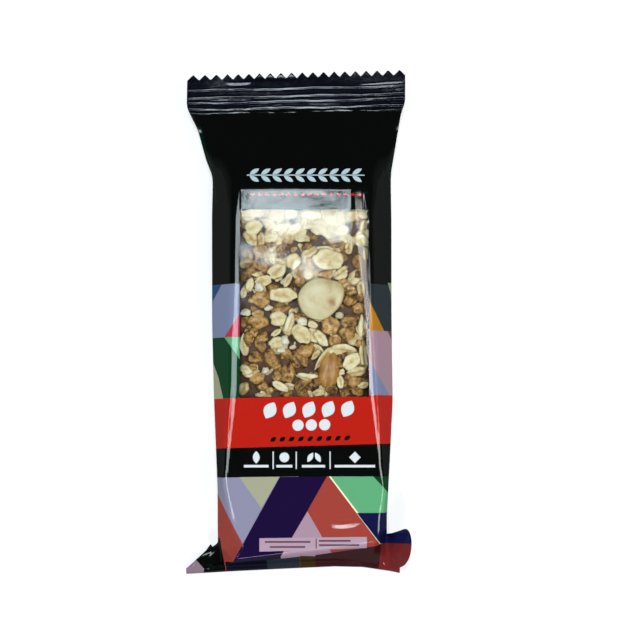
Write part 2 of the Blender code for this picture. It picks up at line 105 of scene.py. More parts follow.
ROUND_ACROSS = keys((-69, 0.6), (-45, 0.7), (0, 0.9), (30, 0.9), (42, 2.6), (60.7, 2.0))
ROUND_ALONG = keys((-69, 0.5), (-60, 0.5), (-50, 1.5), (0, 2.5), (60.7, 1.0))
ROUND_STEPS = np.array([-0.9, -0.45, 0.0, 0.45, 0.9])

BACK_CORNER = 25.5 * MM
BACK_BELLY = 20.0 * MM
BACK_FIN = 9.0 * MM
BACK_GUIDES = np.array([-RIM, -BACK_CORNER, -BACK_BELLY, -BACK_FIN, BACK_FIN, BACK_BELLY, BACK_CORNER, RIM])
BACK_SHRINK = keys((-69, 1.0), (-63, 0.93), (-60, 0.9), (44, 0.9), (60.7, 1.0), unit=1.0)
BACK_MIDDLE_X = keys((-69, -1.0), (-60, 1.0), (44, 1.0), (60.7, -0.7))
CORNER_Z = keys((-69, 2.6), (-62.8, 2.2), (-59, 1.3), (44, 1.3), (60.7, 6.3), (71.7, 5.6))
BELLY_Z = keys((-69, 2.6), (-62.8, 1.9), (-60.6, 0.5), (-57, 0.0), (44, 0.0), (60.7, 6.3), (71.7, 5.6))
BACK_Z = keys((-69, 2.6), (-62.8, 1.9), (-60.6, 0.6), (-57, 0.4), (44, 0.4), (60.7, 6.3), (71.7, 5.6))


def front_guides(v):
    """The front film's six guide points at v: arrays of x, y and z, one column for each guide."""
    lines = (LEFT_RIM_X, LEFT_KNEE_X, LEFT_RIDGE_X, RIGHT_RIDGE_X, RIGHT_KNEE_X, RIGHT_RIM_X)
    x = np.stack([line(v) for line in lines])
    y = v + SLANT(v) * x
    y[5] += EAR_Y(v)
    z = np.stack([RIM_Z(v), KNEE_Z(v), TOP_Z(v), TOP_Z(v), KNEE_Z(v), EAR_Z(v)])
    return x, y, z


def across(guides, values, u):
    """Reads a guided value at u, where each point of u has its own row of guide values."""
    place = np.clip(np.searchsorted(guides, u, side="right") - 1, 0, len(guides) - 2)
    share = (u - guides[place]) / (guides[place + 1] - guides[place])
    rows = np.arange(len(u))
    return values[place, rows] * (1 - share) + values[place + 1, rows] * share


def front_body(u, v):
    """Points of the front film, its corners rounded by averaging over a small reach."""
    total = np.zeros((3, len(u)))
    for du in ROUND_STEPS:
        for dv in ROUND_STEPS:
            near_u = u + du * np.minimum(ROUND_ACROSS(v), RIM - np.abs(u))
            near_v = v + dv * ROUND_ALONG(v)
            total += np.stack([across(GUIDES, values, near_u) for values in front_guides(near_v)])
    return total / len(ROUND_STEPS) ** 2


def back_body(u, v):
    """Points of the back film."""
    left, right = (front_body(np.full(len(v), rim), v) for rim in (-RIM, RIM))
    inner = BACK_GUIDES[1:-1, None] * BACK_SHRINK(v) + BACK_MIDDLE_X(v)
    x = np.vstack([left[0], inner, right[0]])
    y = v + SLANT(v) * x
    y[0], y[-1] = left[1], right[1]
    z = np.stack([left[2], CORNER_Z(v), BELLY_Z(v), BACK_Z(v), BACK_Z(v), BELLY_Z(v), CORNER_Z(v), right[2]])
    return np.stack([across(BACK_GUIDES, values, u) for values in (x, y, z)])


# Along both long edges of the bar the tight film lies on a narrow slope: where it starts and ends on each
# side
LEFT_SLOPE_IN = keys((-61, -14.2), (-56.6, -17.0), (-44.8, -19.8), (-43, -19.5), (-35.5, -18.7),
                     (-28, -17.9), (-21, -17.2), (0, -16.6), (45, -16.4))
LEFT_SLOPE_OUT = keys((-61, -15.0), (-56.6, -17.8), (-44.8, -20.6), (-43, -20.3), (-35.5, -19.9),
                      (-28, -19.2), (-21, -18.8), (0, -18.3), (45, -18.1))
RIGHT_SLOPE_IN = keys((-61, 21.7), (-54.3, 21.9), (-46.5, 23.1), (-43, 22.3), (-35.5, 21.6), (-28, 20.7),
                      (-21, 19.8), (5.6, 17.8), (23.5, 15.7), (38, 14.9))
RIGHT_SLOPE_OUT = keys((-61, 22.5), (-54.3, 22.7), (-46.5, 23.9), (-43, 23.1), (-35.5, 22.6), (-28, 21.9),
                       (-21, 21.2), (5.6, 19.8), (23.5, 18.4), (38, 17.8))
EDGE_SLOPE = 0.25
SLOPE_FADES = keys((-62.5, 0.0), (-60, 1.0), (36, 1.0), (43, 0.0), unit=1.0)
MEETS_SIDE_WITHIN = 5 * MM


def edge_drop(x, v):
    """How far the film has come down on the narrow slopes; it meets the sides again lower down."""
    left = np.clip(LEFT_SLOPE_IN(v) - x, 0, LEFT_SLOPE_IN(v) - LEFT_SLOPE_OUT(v))
    right = np.clip(x - RIGHT_SLOPE_IN(v), 0, RIGHT_SLOPE_OUT(v) - RIGHT_SLOPE_IN(v))
    past = np.maximum(LEFT_SLOPE_OUT(v) - x, x - RIGHT_SLOPE_OUT(v))
    return EDGE_SLOPE * SLOPE_FADES(v) * (left + right) * (1 - np.clip(past / MEETS_SIDE_WITHIN, 0, 1))


# Crimp lines pressed across the upper seal, each a groove with a low lip above it: places along the pack
CRIMPS = (67.2, 65.0, 63.5, 61.6, 60.5)
CRIMP_OFFSETS = (-0.75, -0.5, -0.22, 0.1, 0.4)
CRIMP_HEIGHTS = (0.0, -0.07, 0.0, 0.018, 0.0)
# How the lines waver across the seal: how far and how fast, and how much the waver shifts from line to line
CRIMP_WAVERS = ((0.12, 0.23, 3), (0.05, 0.9, 1))
CRIMP_STRENGTH = 0.95
CRIMP_UNEVEN = 0.4


def crimps(x, v):
    """Height of the crimp lines; they waver a little across the seal and their lips are uneven."""
    x, v = x / MM, v / MM
    total = np.zeros(len(x))
    for place in CRIMPS:
        off = v - place
        for reach, pace, shift in CRIMP_WAVERS:
            off = off - reach * np.sin(pace * x + shift * place)
        uneven = np.sin(0.31 * x + 5 * place) * np.sin(0.13 * x + place)
        total += (CRIMP_STRENGTH + CRIMP_UNEVEN * uneven) * np.interp(off, CRIMP_OFFSETS, CRIMP_HEIGHTS)
    return total * MM


# Dents where the film lies at a slant and catches the light: middle x and y, turn in degrees, half
# length, half width, how far the ends bend away, all in millimetres, and the slants to the right and
# upwards as rise over run
DENTS = (
    (-23.2, 63.9, 1.0, 8.0, 0.9, 0.0, -0.02, 0.043), (-7.4, 70.9, 0.0, 6.4, 1.4, 0.0, 0.0, 0.046),
    (-28.8, 69.4, 80.0, 1.4, 0.7, 0.0, -0.04, 0.041), (-17.0, 68.2, 2.0, 3.2, 0.6, 0.2, -0.03, 0.045),
    (18.4, 64.05, 12.0, 2.2, 0.7, 0.0, 0.02, 0.06), (26.9, 64.1, 2.0, 3.2, 0.6, 0.0, 0.03, 0.06),
    (25.4, 66.0, 50.0, 1.6, 0.5, 0.0, 0.03, 0.06), (22.0, 68.3, 4.0, 7.0, 0.4, 0.0, 0.03, 0.045),
    (-11.0, 61.2, 4.0, 4.4, 0.4, 0.5, -0.01, 0.06), (-8.0, 59.0, 12.0, 2.0, 0.3, 0.3, 0.0, 0.24),
    (12.8, -57.0, 5.0, 5.6, 1.3, 1.2, 0.012, -0.175), (15.2, -54.9, 9.0, 5.0, 0.55, 0.9, 0.016, -0.15),
    (-22.4, 53.0, 112.0, 3.0, 0.3, 0.4, -0.42, 0.18), (22.8, 41.2, -12.0, 2.4, 0.14, 0.0, 0.0, 0.25),
    (27.0, -65.6, 116.0, 1.6, 0.5, 0.2, -0.72, -0.3), (29.0, -64.6, 110.0, 1.3, 0.4, 0.2, -0.7, -0.25),
    (25.0, -67.6, 30.0, 2.6, 0.3, 0.3, 0.29, -0.24), (-26.0, -66.4, 40.0, 2.6, 0.4, 0.4, 0.09, -0.24),
)


def dents(x, y):
    """Height of the dents: a slanted patch each, level with the film at its middle and faded at its edges."""
    total = np.zeros(len(x))
    for middle_x, middle_y, turn, length, width, bend, slant_right, slant_up in DENTS:
        turn = math.radians(turn)
        right, up = x / MM - middle_x, y / MM - middle_y
        along = (right * math.cos(turn) + up * math.sin(turn)) / length
        shift = bend * along ** 2
        off = (up * math.cos(turn) - right * math.sin(turn) - shift) / width
        from_line_right, from_line_up = -off * width * math.sin(turn), off * width * math.cos(turn)
        total += (slant_right * from_line_right + slant_up * from_line_up) * np.exp(-off ** 4 - along ** 4)
    return total * MM


# The tight film's soft waves: how fast each goes across and up the pack, in millimetres, and where it
# starts
SLACK_WAVES = ((0.31, 0.17, 0.0), (-0.36, 0.23, 1.3), (0.12, 0.47, 2.2))
SLACK_HEIGHT = 0.02 * MM


def slack(x, y):
    """How the tight film stands a little proud or sunk over the pieces under it."""
    x, y = x / MM, y / MM
    waves = [np.sin(pace_x * x + pace_y * y + start) for pace_x, pace_y, start in SLACK_WAVES]
    return SLACK_HEIGHT * sum(waves)


# The gathers' height, how far inside the ridges they start, and over how many millimetres they rise and fade
GATHER_HEIGHT = 0.05 * MM
GATHER_EDGE = 5 * MM
GATHER_RISE = 1.5
GATHER_FADE = 6


def gathers(u, v):
    """Fine pleats that run from the upper seal down the shoulders."""
    below = (SEAL_LINE - v) / MM
    pleats = np.sin(0.9 * u / MM + 1.2 * np.sin(0.3 * u / MM)) + 0.5 * np.sin(1.9 * u / MM + 0.7)
    towards_rim = np.clip((RIDGE - np.abs(u)) / GATHER_EDGE, 0, 1)
    fade = np.clip(below / GATHER_RISE, 0, 1) * np.exp(-np.clip(below, 0, None) / GATHER_FADE)
    return GATHER_HEIGHT * pleats * towards_rim * fade


# The fold line does not run straight: how far it is drawn up the pack at each place across it
FOLD_RISE = keys((-31, 0.0), (-20, 0.6), (0, 1.5), (10, 1.9), (18, 1.7), (24, 0.8), (30, 0.0))
FOLD_DRAW = keys((-69, 1.0), (-64.5, 0.0), unit=1.0)

PRESSED = keys((-69, 1.0), (-66, 0.0), (51, 0.0), (60.7, 1.0), unit=1.0)
LIFT = keys((58, 0.4), (60.7, 0.3))


def film(u, v, side):
    """Points of the film from the fold line to the upper edge; side is 1 for the front, -1 for the back."""
    if side > 0:
        points = front_body(u, v)
        x, y = points[0], points[1]
        points[2] += LIFT(v) + slack(x, y) + gathers(u, v) + dents(x, y) - edge_drop(x, v)
    else:
        points = back_body(u, v)
        points[2] -= SEAL_HALF_THICKNESS * PRESSED(v)
        points[2] += dents(points[0], points[1]) * (v > SEAL_LINE)
    points[2] += crimps(points[0], v)
    points[1] += FOLD_RISE(points[0]) * FOLD_DRAW(v)
    return points


def folded_seal(u, run, side):
    """Points of the lower seal, run metres past the fold line: it turns under and lies below the pack."""
    start = front_body(u, np.full(len(u), FOLD_LINE))
    turn = min(run / FOLD_RADIUS, math.pi)
    flat = max(run - math.pi * FOLD_RADIUS, 0)
    pressed = LOWER_CRIMP * math.cos(2 * math.pi * run / LOWER_CRIMP_PITCH) if flat else 0.0
    reach = FOLD_RADIUS + side * SEAL_HALF_THICKNESS + pressed
    start[0] += flat * WING_TUCK * np.clip((-u - WING_START) / (RIM - WING_START), 0, 1)
    start[1] += -reach * math.sin(turn) + flat + FOLD_RISE(start[0])
    start[2] += reach * math.cos(turn) - FOLD_RADIUS
    return start


SIDE_STEPS = 44
WINDOW_STEPS = 66
CROWDING = 0.1
COLUMNS = 2 * SIDE_STEPS + WINDOW_STEPS
EVEN_WITHIN_SEAL = 16 * MM
EVEN_WITHIN_FOLD = 10 * MM


def tooth_line(u):
    """How far the saw-cut edge reaches at u: 0 in a notch, 1 at a tip."""
    place = (u + RIM) / (2 * RIM) * TEETH
    return 1 - np.abs(2 * (place - np.floor(place)) - 1)


def top_place(x, v):
    """Distance across the film of a point of the flat top that lies at x."""
    left, right = LEFT_RIDGE_X(v), RIGHT_RIDGE_X(v)
    return -RIDGE + 2 * RIDGE * (x - left) / (right - left)


def columns_at(v):
    """Columns across the film at v: even at the seals, and on the body crowded beside the window."""
    left, right = top_place(WINDOW_X[0], v), top_place(WINDOW_X[1], v)
    share = np.linspace(0, 1, WINDOW_STEPS, endpoint=False)
    share -= CROWDING * np.sin(2 * math.pi * share)
    body = np.concatenate([
        np.linspace(-RIM, left, SIDE_STEPS, endpoint=False),
        left + (right - left) * share,
        np.linspace(right, RIM, SIDE_STEPS + 1),
    ])
    towards_body = np.clip(min((SEAL_LINE - v) / EVEN_WITHIN_SEAL, (v - FOLD_LINE) / EVEN_WITHIN_FOLD), 0, 1)
    return np.linspace(-RIM, RIM, COLUMNS + 1) * (1 - towards_body) + body * towards_body


TOOTH_ROWS = (1.0, 0.66, 0.33)
CRIMP_STEP = 0.16 * MM
SHOULDER_ROWS, WINDOW_ROWS, BAND_ROWS, END_ROWS, FOLDED_ROWS = 40, 60, 24, 60, 21
END_START = -50 * MM


def film_rows():
    """Rows of points down the pack: arrays of u and v from the saw-cut edge to the fold line."""
    notch = TIP_END - TOOTH_DEPTH
    even = np.linspace(-RIM, RIM, COLUMNS + 1)
    rows = [(even, notch + TOOTH_DEPTH * tooth_line(even) * share) for share in TOOTH_ROWS]
    stations = np.concatenate([
        np.arange(notch, SEAL_LINE - 1.4 * MM, -CRIMP_STEP),
        np.linspace(SEAL_LINE - 1.6 * MM, WINDOW_Y[1], SHOULDER_ROWS, endpoint=False),
        np.linspace(WINDOW_Y[1], WINDOW_Y[0], WINDOW_ROWS, endpoint=False),
        np.linspace(WINDOW_Y[0], END_START, BAND_ROWS, endpoint=False),
        np.linspace(END_START, FOLD_LINE, END_ROWS),
    ])
    rows += [(columns_at(v), np.full(COLUMNS + 1, v)) for v in stations]
    return rows


def mesh_piece(name, points, faces, material, smooth=True):
    """Makes a mesh object from points and faces, riding on the pack, with its material."""
    mesh = bpy.data.meshes.new(name)
    mesh.from_pydata([tuple(p) for p in points + CENTRING], [], faces)
    mesh.update()
    mesh.polygons.foreach_set("use_smooth", [smooth] * len(mesh.polygons))
    mesh.materials.append(material)
    thing = bpy.data.objects.new(name, mesh)
    bpy.context.scene.collection.objects.link(thing)
    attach(thing, "root")
    return thing


def set_print_place(thing, places):
    """Notes on each point where it lies on the print, in millimetres; the third number is 1, for the sums."""
    flat = np.ones((len(places), 3))
    flat[:, :2] = places / MM
    thing.data.attributes.new("print_place", "FLOAT_VECTOR", "POINT").data.foreach_set("vector", flat.ravel())


def grid_faces(count_rows, count_columns, first=0, keep=lambda row, column: True, turned=False):
    """Four-sided faces of a grid of points; keep says which cells stay."""
    faces = []
    for row in range(count_rows - 1):
        for column in range(count_columns - 1):
            if keep(row, column):
                a = first + row * count_columns + column
                face = (a, a + count_columns, a + count_columns + 1, a + 1)
                faces.append(face[::-1] if turned else face)
    return faces


def side_faces(count_rows, count_columns, far):
    """Faces that close both sides between a grid and its copy, whose points come far places later."""
    faces = []
    for row in range(count_rows - 1):
        a, b = row * count_columns, (row + 1) * count_columns
        faces.append((a, a + far, b + far, b))
        a, b = a + count_columns - 1, b + count_columns - 1
        faces.append((a, b, b + far, a + far))
    return faces


def weld(thing, reach=0.02 * MM):
    """Joins points that lie on each other and drops points that no face uses."""
    bm = bmesh.new()
    bm.from_mesh(thing.data)
    bmesh.ops.remove_doubles(bm, verts=bm.verts[:], dist=reach)
    bmesh.ops.delete(bm, geom=[v for v in bm.verts if not v.link_faces], context="VERTS")
    bm.to_mesh(thing.data)
    bm.free()


def film_surfaces(rows):
    """Points and print places of the whole film, front and back, from one saw-cut edge to the other."""
    u = np.concatenate([row[0] for row in rows])
    v = np.concatenate([row[1] for row in rows])
    front, back = [film(u, v, 1)], [film(u, v, -1)]
    tips = np.arange(COLUMNS + 1)
    back[0][:, tips] = front[0][:, tips]
    # The print runs on outwards where the film turns in below its widest line, and on round the back
    knee_x, rim_x = (np.where(u < 0, left(v), right(v)) for left, right in
                     ((LEFT_KNEE_X, RIGHT_KNEE_X), (LEFT_RIM_X, RIGHT_RIM_X)))
    outward = np.sign(u)
    front_x = np.where(np.abs(u) > KNEE, knee_x + outward * np.abs(front[0][0] - knee_x), front[0][0])
    rim_print_x = knee_x + outward * np.abs(rim_x - knee_x)
    front_print = [np.stack([front_x, front[0][1]])]
    back_print = [np.stack([rim_print_x + rim_x - back[0][0], back[0][1]])]
    even = columns_at(FOLD_LINE)
    at_fold = front_body(even, np.full(len(even), FOLD_LINE))
    notch = FOLDED_LENGTH - TOOTH_DEPTH
    for run in np.linspace(0, notch, FOLDED_ROWS + 1)[1:]:
        front.append(folded_seal(even, run, 1))
        back.append(folded_seal(even, run, -1))
        front_print.append(np.stack([at_fold[0], at_fold[1] - run]))
    edge = (front[-1] + back[-1]) / 2
    edge[1] += TOOTH_DEPTH * tooth_line(even)
    front_print.append(np.stack([at_fold[0], at_fold[1] - FOLDED_LENGTH]))
    back_print += front_print[1:]
    return [np.hstack(part).T for part in (front + [edge], back + [edge], front_print, back_print)]


HAIR = 0.01 * MM


def make_film(printed, clear):
    """The printed film as one closed skin with the window's opening, and the clear film in that opening."""
    rows = film_rows()
    front, back, front_print, back_print = film_surfaces(rows)
    width = COLUMNS + 1
    count = len(front) // width

    def in_window(row, column):
        if not SIDE_STEPS <= column < SIDE_STEPS + WINDOW_STEPS or row + 1 >= len(rows):
            return False
        return WINDOW_Y[0] - HAIR < rows[row + 1][1][0] and rows[row][1][0] < WINDOW_Y[1] + HAIR

    faces = grid_faces(count, width, keep=lambda row, column: not in_window(row, column))
    faces += grid_faces(count, width, first=len(front), turned=True) + side_faces(count, width, len(front))
    wrapper = mesh_piece("printed_film", np.vstack([front, back]), faces, printed)
    set_print_place(wrapper, np.vstack([front_print, back_print]))
    weld(wrapper)
    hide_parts("wrapper")

    pane = mesh_piece("window_film", front, grid_faces(count, width, keep=in_window), clear)
    weld(pane)
    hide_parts("window")


# The fin seal down the back: both film edges pressed together, folded flat to one side. Its real ridges
# are about 0.5 mm apart; these are coarser, so that they show.
FIN_WIDTH = 9.0 * MM
FIN_ENDS = (-56.0 * MM, 46.0 * MM)
FIN_TOP = 0.6 * MM
FIN_RIDGE = 0.06 * MM
FIN_PITCH = 0.9 * MM
FIN_COLUMNS, FIN_ROWS = 61, 60
FIN_PRINT_X = -46 * MM


def make_fin(printed):
    """The fin seal, pressed with fine ridges along its length."""
    xs = np.linspace(-FIN_WIDTH, 0, FIN_COLUMNS)
    ys = np.linspace(*FIN_ENDS, FIN_ROWS)
    ridges = FIN_RIDGE * (1 + np.cos(2 * math.pi * xs / FIN_PITCH)) * np.clip((xs + FIN_WIDTH) / MM, 0, 1)
    under = np.array([(x, y, z) for y in ys for x, z in zip(xs, ridges)])
    over = under * (1, 1, 0) + (0, 0, FIN_TOP)
    far = len(under)
    faces = grid_faces(FIN_ROWS, FIN_COLUMNS) + grid_faces(FIN_ROWS, FIN_COLUMNS, first=far, turned=True)
    faces += side_faces(FIN_ROWS, FIN_COLUMNS, far)
    for a in range(FIN_COLUMNS - 1):
        b = (FIN_ROWS - 1) * FIN_COLUMNS + a
        faces += [(a, a + 1, a + 1 + far, a + far), (b, b + far, b + 1 + far, b + 1)]
    points = np.vstack([under, over])
    fin = mesh_piece("fin_seal", points, faces, printed, smooth=False)
    places = points[:, :2].copy()
    places[:, 0] = FIN_PRINT_X
    set_print_place(fin, places)
    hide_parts("wrapper")


def linear(hex_colour):
    """Turns an sRGB hex value to the linear colour that a shader works in."""
    channels = [int(hex_colour[i:i + 2], 16) / 255 for i in (1, 3, 5)]
    return tuple(c / 12.92 if c <= 0.04045 else ((c + 0.055) / 1.055) ** 2.4 for c in channels) + (1.0,)


def add(tree, kind, inputs=(), output=0, **settings):
    """Adds a node with its settings and links, and gives back one of its outputs.

    inputs are values or other nodes' outputs, in the order of the node's sockets or by socket name or number.
    """
    node = tree.nodes.new(kind)
    for name, value in settings.items():
        setattr(node, name, value)
    for socket, value in (inputs.items() if isinstance(inputs, dict) else enumerate(inputs)):
        if isinstance(value, bpy.types.NodeSocket):
            tree.links.new(value, node.inputs[socket])
        else:
            node.inputs[socket].default_value = value
    return node.outputs[output] if node.outputs else None


def new_material(name):
    """An empty material and its node tree."""
    material = bpy.data.materials.new(name)
    material.use_nodes = True
    material.node_tree.nodes.clear()
    return material, material.node_tree


INK = {
    "black": "#050706", "red": "#a41b11", "white": "#c2c6c8", "oat white": "#a3b5b9", "cream": "#d8d2b4",
    "lilac": "#6d748e", "deep blue": "#1f3f66", "crimson": "#a52a40", "forest": "#06351a", "mint": "#54966a",
    "khaki": "#8c8f72", "slate": "#22292c", "sage": "#6f7f66", "amber": "#a06a12", "rose": "#927782",
    "plum": "#5a3a42", "lavender": "#7d7b90", "beige": "#929179", "indigo": "#180b31", "coral": "#8e3930",
    "mauve": "#967c8b", "navy": "#10133a", "wine": "#661f20", "pale": "#7b6672", "panel": "#9f8796",
    # The four last inks, for the lower end's face below the ridge, are that print darkened with painted shade
    # where the face turns away from the light
    "seal navy": "#05060f", "shoulder": "#04160c", "night blue in painted shade": "#0d0c1c", "grey blue in painted shade": "#22272f", "ochre in painted shade": "#33230f",
    "dark red in painted shade": "#301214",
}
# How fast an ink's edge goes from none to full, in shares per millimetre
EDGE_SHARPNESS = 9.0


class Print:
    """The film's print, laid field by field over a ground ink. Places are millimetres on the print."""

    def __init__(self, tree, ground):
        self.tree = tree
        self.place = add(tree, "ShaderNodeAttribute", output="Vector", attribute_name="print_place")
        self.colour = add(tree, "ShaderNodeRGB")
        self.colour.default_value = linear(INK[ground])

    def inside(self, *depths):
        """How deep each place is inside all of the shapes whose depths are given."""
        least = depths[0]
        for depth in depths[1:]:
            least = add(self.tree, "ShaderNodeMath", (least, depth), operation="MINIMUM")
        return least

    def straight(self, *corners):
        """How deep inside a straight-sided shape each place is."""
        corners = [Vector(c) for c in corners]
        middle = sum(corners, Vector((0, 0))) / len(corners)
        sides = []
        for a, b in zip(corners, corners[1:] + corners[:1]):
            inward = Vector((a.y - b.y, b.x - a.x)).normalized()
            if (middle - a).dot(inward) < 0:
                inward = -inward
            sides.append(add(self.tree, "ShaderNodeVectorMath", (self.place, (*inward, -a.dot(inward))),
                             "Value", operation="DOT_PRODUCT"))
        return self.inside(*sides)

    def grain(self, middle, length, width, turn=0.0, place=None):
        """How deep inside a grain shape, a narrow oval with pointed ends, each place is."""
        middle, turn = Vector(middle), math.radians(turn)
        shares = []
        for direction, size in ((Vector((math.cos(turn), math.sin(turn))), length),
                                (Vector((-math.sin(turn), math.cos(turn))), width)):
            line = (*direction * 2 / size, -middle.dot(direction) * 2 / size)
            shares.append(add(self.tree, "ShaderNodeVectorMath", (place or self.place, line), "Value",
                              operation="DOT_PRODUCT"))
        far, out = shares
        off = add(self.tree, "ShaderNodeMath", (out,), operation="ABSOLUTE")
        edge = add(self.tree, "ShaderNodeMath", (far, far, off), operation="MULTIPLY_ADD")
        return add(self.tree, "ShaderNodeMath", (edge, -width / 2, width / 2), operation="MULTIPLY_ADD")

    def disc(self, middle, radius, place=None):
        """How deep inside a disc each place is."""
        far = add(self.tree, "ShaderNodeVectorMath", (place or self.place, (*middle, 1.0)), "Value",
                  operation="DISTANCE")
        return add(self.tree, "ShaderNodeMath", (radius, far), operation="SUBTRACT")

    def row(self, first, pitch, slope=0.0):
        """A print place that starts again every pitch along a row, for a sign that repeats."""
        x = add(self.tree, "ShaderNodeSeparateXYZ", (self.place,))
        y = add(self.tree, "ShaderNodeMath", (x, -slope, x.node.outputs["Y"]), operation="MULTIPLY_ADD")
        again = add(self.tree, "ShaderNodeMath", (x, first + pitch, first), operation="WRAP")
        return add(self.tree, "ShaderNodeCombineXYZ", (again, y, 1.0))

    def lay(self, ink, *depths):
        """Lays an ink where every depth is above zero."""
        share = add(self.tree, "ShaderNodeMath", (self.inside(*depths), EDGE_SHARPNESS, 0.5),
                    operation="MULTIPLY_ADD", use_clamp=True)
        self.colour = add(self.tree, "ShaderNodeMix", {0: share, 6: self.colour, 7: linear(INK[ink])}, 2,
                          data_type="RGBA")


# The flat fields of colour, triangles and bands, that run on round the sides to the back. Each lies over
# the ones before it: its ink, then its corners in millimetres on the print.
FIELDS = (
    ("seal navy", (-40, 60.3), (40, 61.6), (40, 90), (-40, 90)),
    ("shoulder", (-36, 56), (-28, 56), (-24.2, 42), (-23.2, 34), (-36, 30)),
    ("shoulder", (28.5, 53), (36, 53), (36, 36), (25.4, 41)),
    # Left of the window
    ("lilac", (-41, 10.6), (-16.4, 10.6), (-16.4, -4.3), (-41, -4.3)),
    ("deep blue", (-41, 10.6), (-21.7, 10.6), (-30, -3.2), (-41, -4.3)),
    ("crimson", (-20.9, -4.3), (-16.4, 2.3), (-16.4, -4.3)),
    ("forest", (-41, -4.3), (-16.4, -4.3), (-16.4, -22), (-41, -22)),
    ("mint", (-20.9, -4.3), (-16.4, -4.3), (-16.4, -10.6)),
    ("khaki", (-20.3, -21.6), (-22.6, -15.5), (-24.3, -8.5), (-41, 2), (-41, -22)),
    # Right of the window
    ("slate", (19.6, 10.6), (41, 10.9), (41, -2.4), (19.6, -2.4)),
    ("sage", (25.0, 11.3), (41, 11.3), (41, -8), (30.5, -8)),
    ("amber", (19.8, 5.6), (19.8, -2.4), (23.9, -2.4)),
    ("rose", (19.6, -2.4), (41, -2.4), (41, -21), (19.6, -21)),
    ("plum", (24.9, -2.4), (41, -2.4), (41, -32)),
    ("lilac", (19.9, -11.2), (19.9, -21), (25.8, -21)),
    # The red band; the black one below it is the ground
    ("red", (-60, -22.2), (60, -19.7), (60, -33.0), (-60, -36.4)),
    # Below the bands
    ("lavender", (-60, -44), (0, -43.1), (0, -75), (-60, -75)),
    ("coral", (-25.3, -43.5), (-15.2, -62.4), (-8.5, -75), (-60, -75), (-60, -43.5)),
    ("beige", (-16.5, -43.3), (-5.3, -43.2), (-10.4, -51.8)),
    ("coral", (7.8, -43.1), (9, -43.1), (40, -85), (5, -90), (-2, -60)),
    ("indigo", (-5.3, -43.2), (-21.5, -72.7), (-9, -72.7), (7.8, -43.1)),
    ("mauve", (2.4, -52.8), (-12.6, -78), (17.0, -78)),
    ("cream", (8.4, -43.1), (8.9, -43.1), (40, -83.6), (39.2, -84)),
    ("forest", (20.7, -43.1), (60, -43.1), (60, -53.2), (30.1, -53.2)),
    ("mint", (8.9, -43.1), (20.7, -43.1), (30.1, -53.2), (16.6, -53.2)),
    ("navy", (16.1, -53.2), (60, -53.2), (60, -61.9), (22.8, -61.9)),
    # The folded end and its wings
    ("wine", (22.8, -61.9), (60, -61.9), (60, -90), (22, -90), (12.5, -68)),
    ("black", (-22.4, -60.4), (-20.8, -68.4), (-20.4, -90), (-60, -90), (-60, -60.4)),
    ("pale", (-29.3, -66.4), (-26.8, -69.2), (-27.5, -76), (-40, -80), (-38, -66)),
    # The lower end's face below the ridge: its print darkened with painted shade where the face turns away from
    # the light
    ("night blue in painted shade", (-20.6, -67.0), (-5.0, -65.2), (-5.0, -90), (-20.6, -90)),
    ("grey blue in painted shade", (-9.0, -66.4), (0.3, -65.4), (0.3, -90), (-9.0, -90)),
    ("ochre in painted shade", (0.3, -65.2), (5.0, -65.4), (5.6, -90), (0.3, -90)),
    ("dark red in painted shade", (4.6, -65.0), (23.0, -62.2), (21.0, -90), (5.2, -90)),
)


def level(left, right, low, high):
    """The four corners of a level rectangle."""
    return (left, high), (right, high), (right, low), (left, low)


def lay_ear(art):
    """An ear of oats: a stem with pairs of grains, and a row of red grains under it."""
    ear = art.row(-14.0, 3.2)
    ear_reach = art.straight(*level(-14.0, 18.0, 38, 44))
    for middle_y, turn in ((42.3, 32), (40.1, -32)):
        art.lay("oat white", art.grain((-12.5, middle_y), 3.1, 1.25, turn, ear), ear_reach)
    art.lay("oat white", art.straight(*level(-14.6, 18.4, 41.05, 41.35)))
    seeds = art.grain((-13.0, 35.6), 1.5, 0.8, 0, art.row(-14.0, 2.0))
    art.lay("red", seeds, art.straight(*level(-14, 18, 34, 37)))


BAND_SLOPE = 0.02


def lay_almonds(art):
    """Almonds on the red band, large ones over small round ones, and a dark row of oats."""
    almonds = art.grain((-8.0, -24.6), 5.0, 3.6, 62, art.row(-10.7, 5.4, BAND_SLOPE))
    art.lay("white", almonds, art.straight(*level(-10.7, 16.3, -28, -21.6)))
    rounds = art.disc((-0.2, -28.9), 1.55, art.row(-2.05, 3.7, BAND_SLOPE))
    art.lay("white", rounds, art.straight(*level(-2.0, 9.1, -31, -26.5)))
    oats = art.grain((-7.1, -32.7), 2.0, 1.2, 35, art.row(-8.4, 2.57, BAND_SLOPE))
    art.lay("black", oats, art.straight(*level(-8.4, 14.8, -34.6, -31)))


MARK_Y = -37.8
# The marks' middles across the band, and half the length of the short rule under each
MARK_RULES = ((-11.8, 3.4), (-4.0, 2.2), (4.1, 3.2), (15.6, 5.6))
MARK_DIVIDERS = (-7.1, -0.7, 8.7)


def lay_marks(art):
    """Four small marks on the black band, each over a short rule, with thin lines between."""
    art.lay("white", art.grain((-11.8, MARK_Y), 3.4, 1.9, 90))
    art.lay("white", art.disc((-4.0, MARK_Y), 1.35))
    art.lay("white", art.grain((3.2, MARK_Y), 3.0, 1.4, 60))
    art.lay("white", art.grain((5.3, MARK_Y), 3.0, 1.4, 120))
    art.lay("white", art.straight((15.6, -36.2), (17.2, MARK_Y), (15.6, -39.4), (14.0, MARK_Y)))
    for middle, half in MARK_RULES:
        art.lay("white", art.straight(*level(middle - half, middle + half, -40.6, -39.9)))
    for x in MARK_DIVIDERS:
        art.lay("white", art.straight(*level(x - 0.16, x + 0.16, -41.0, -36.2)))


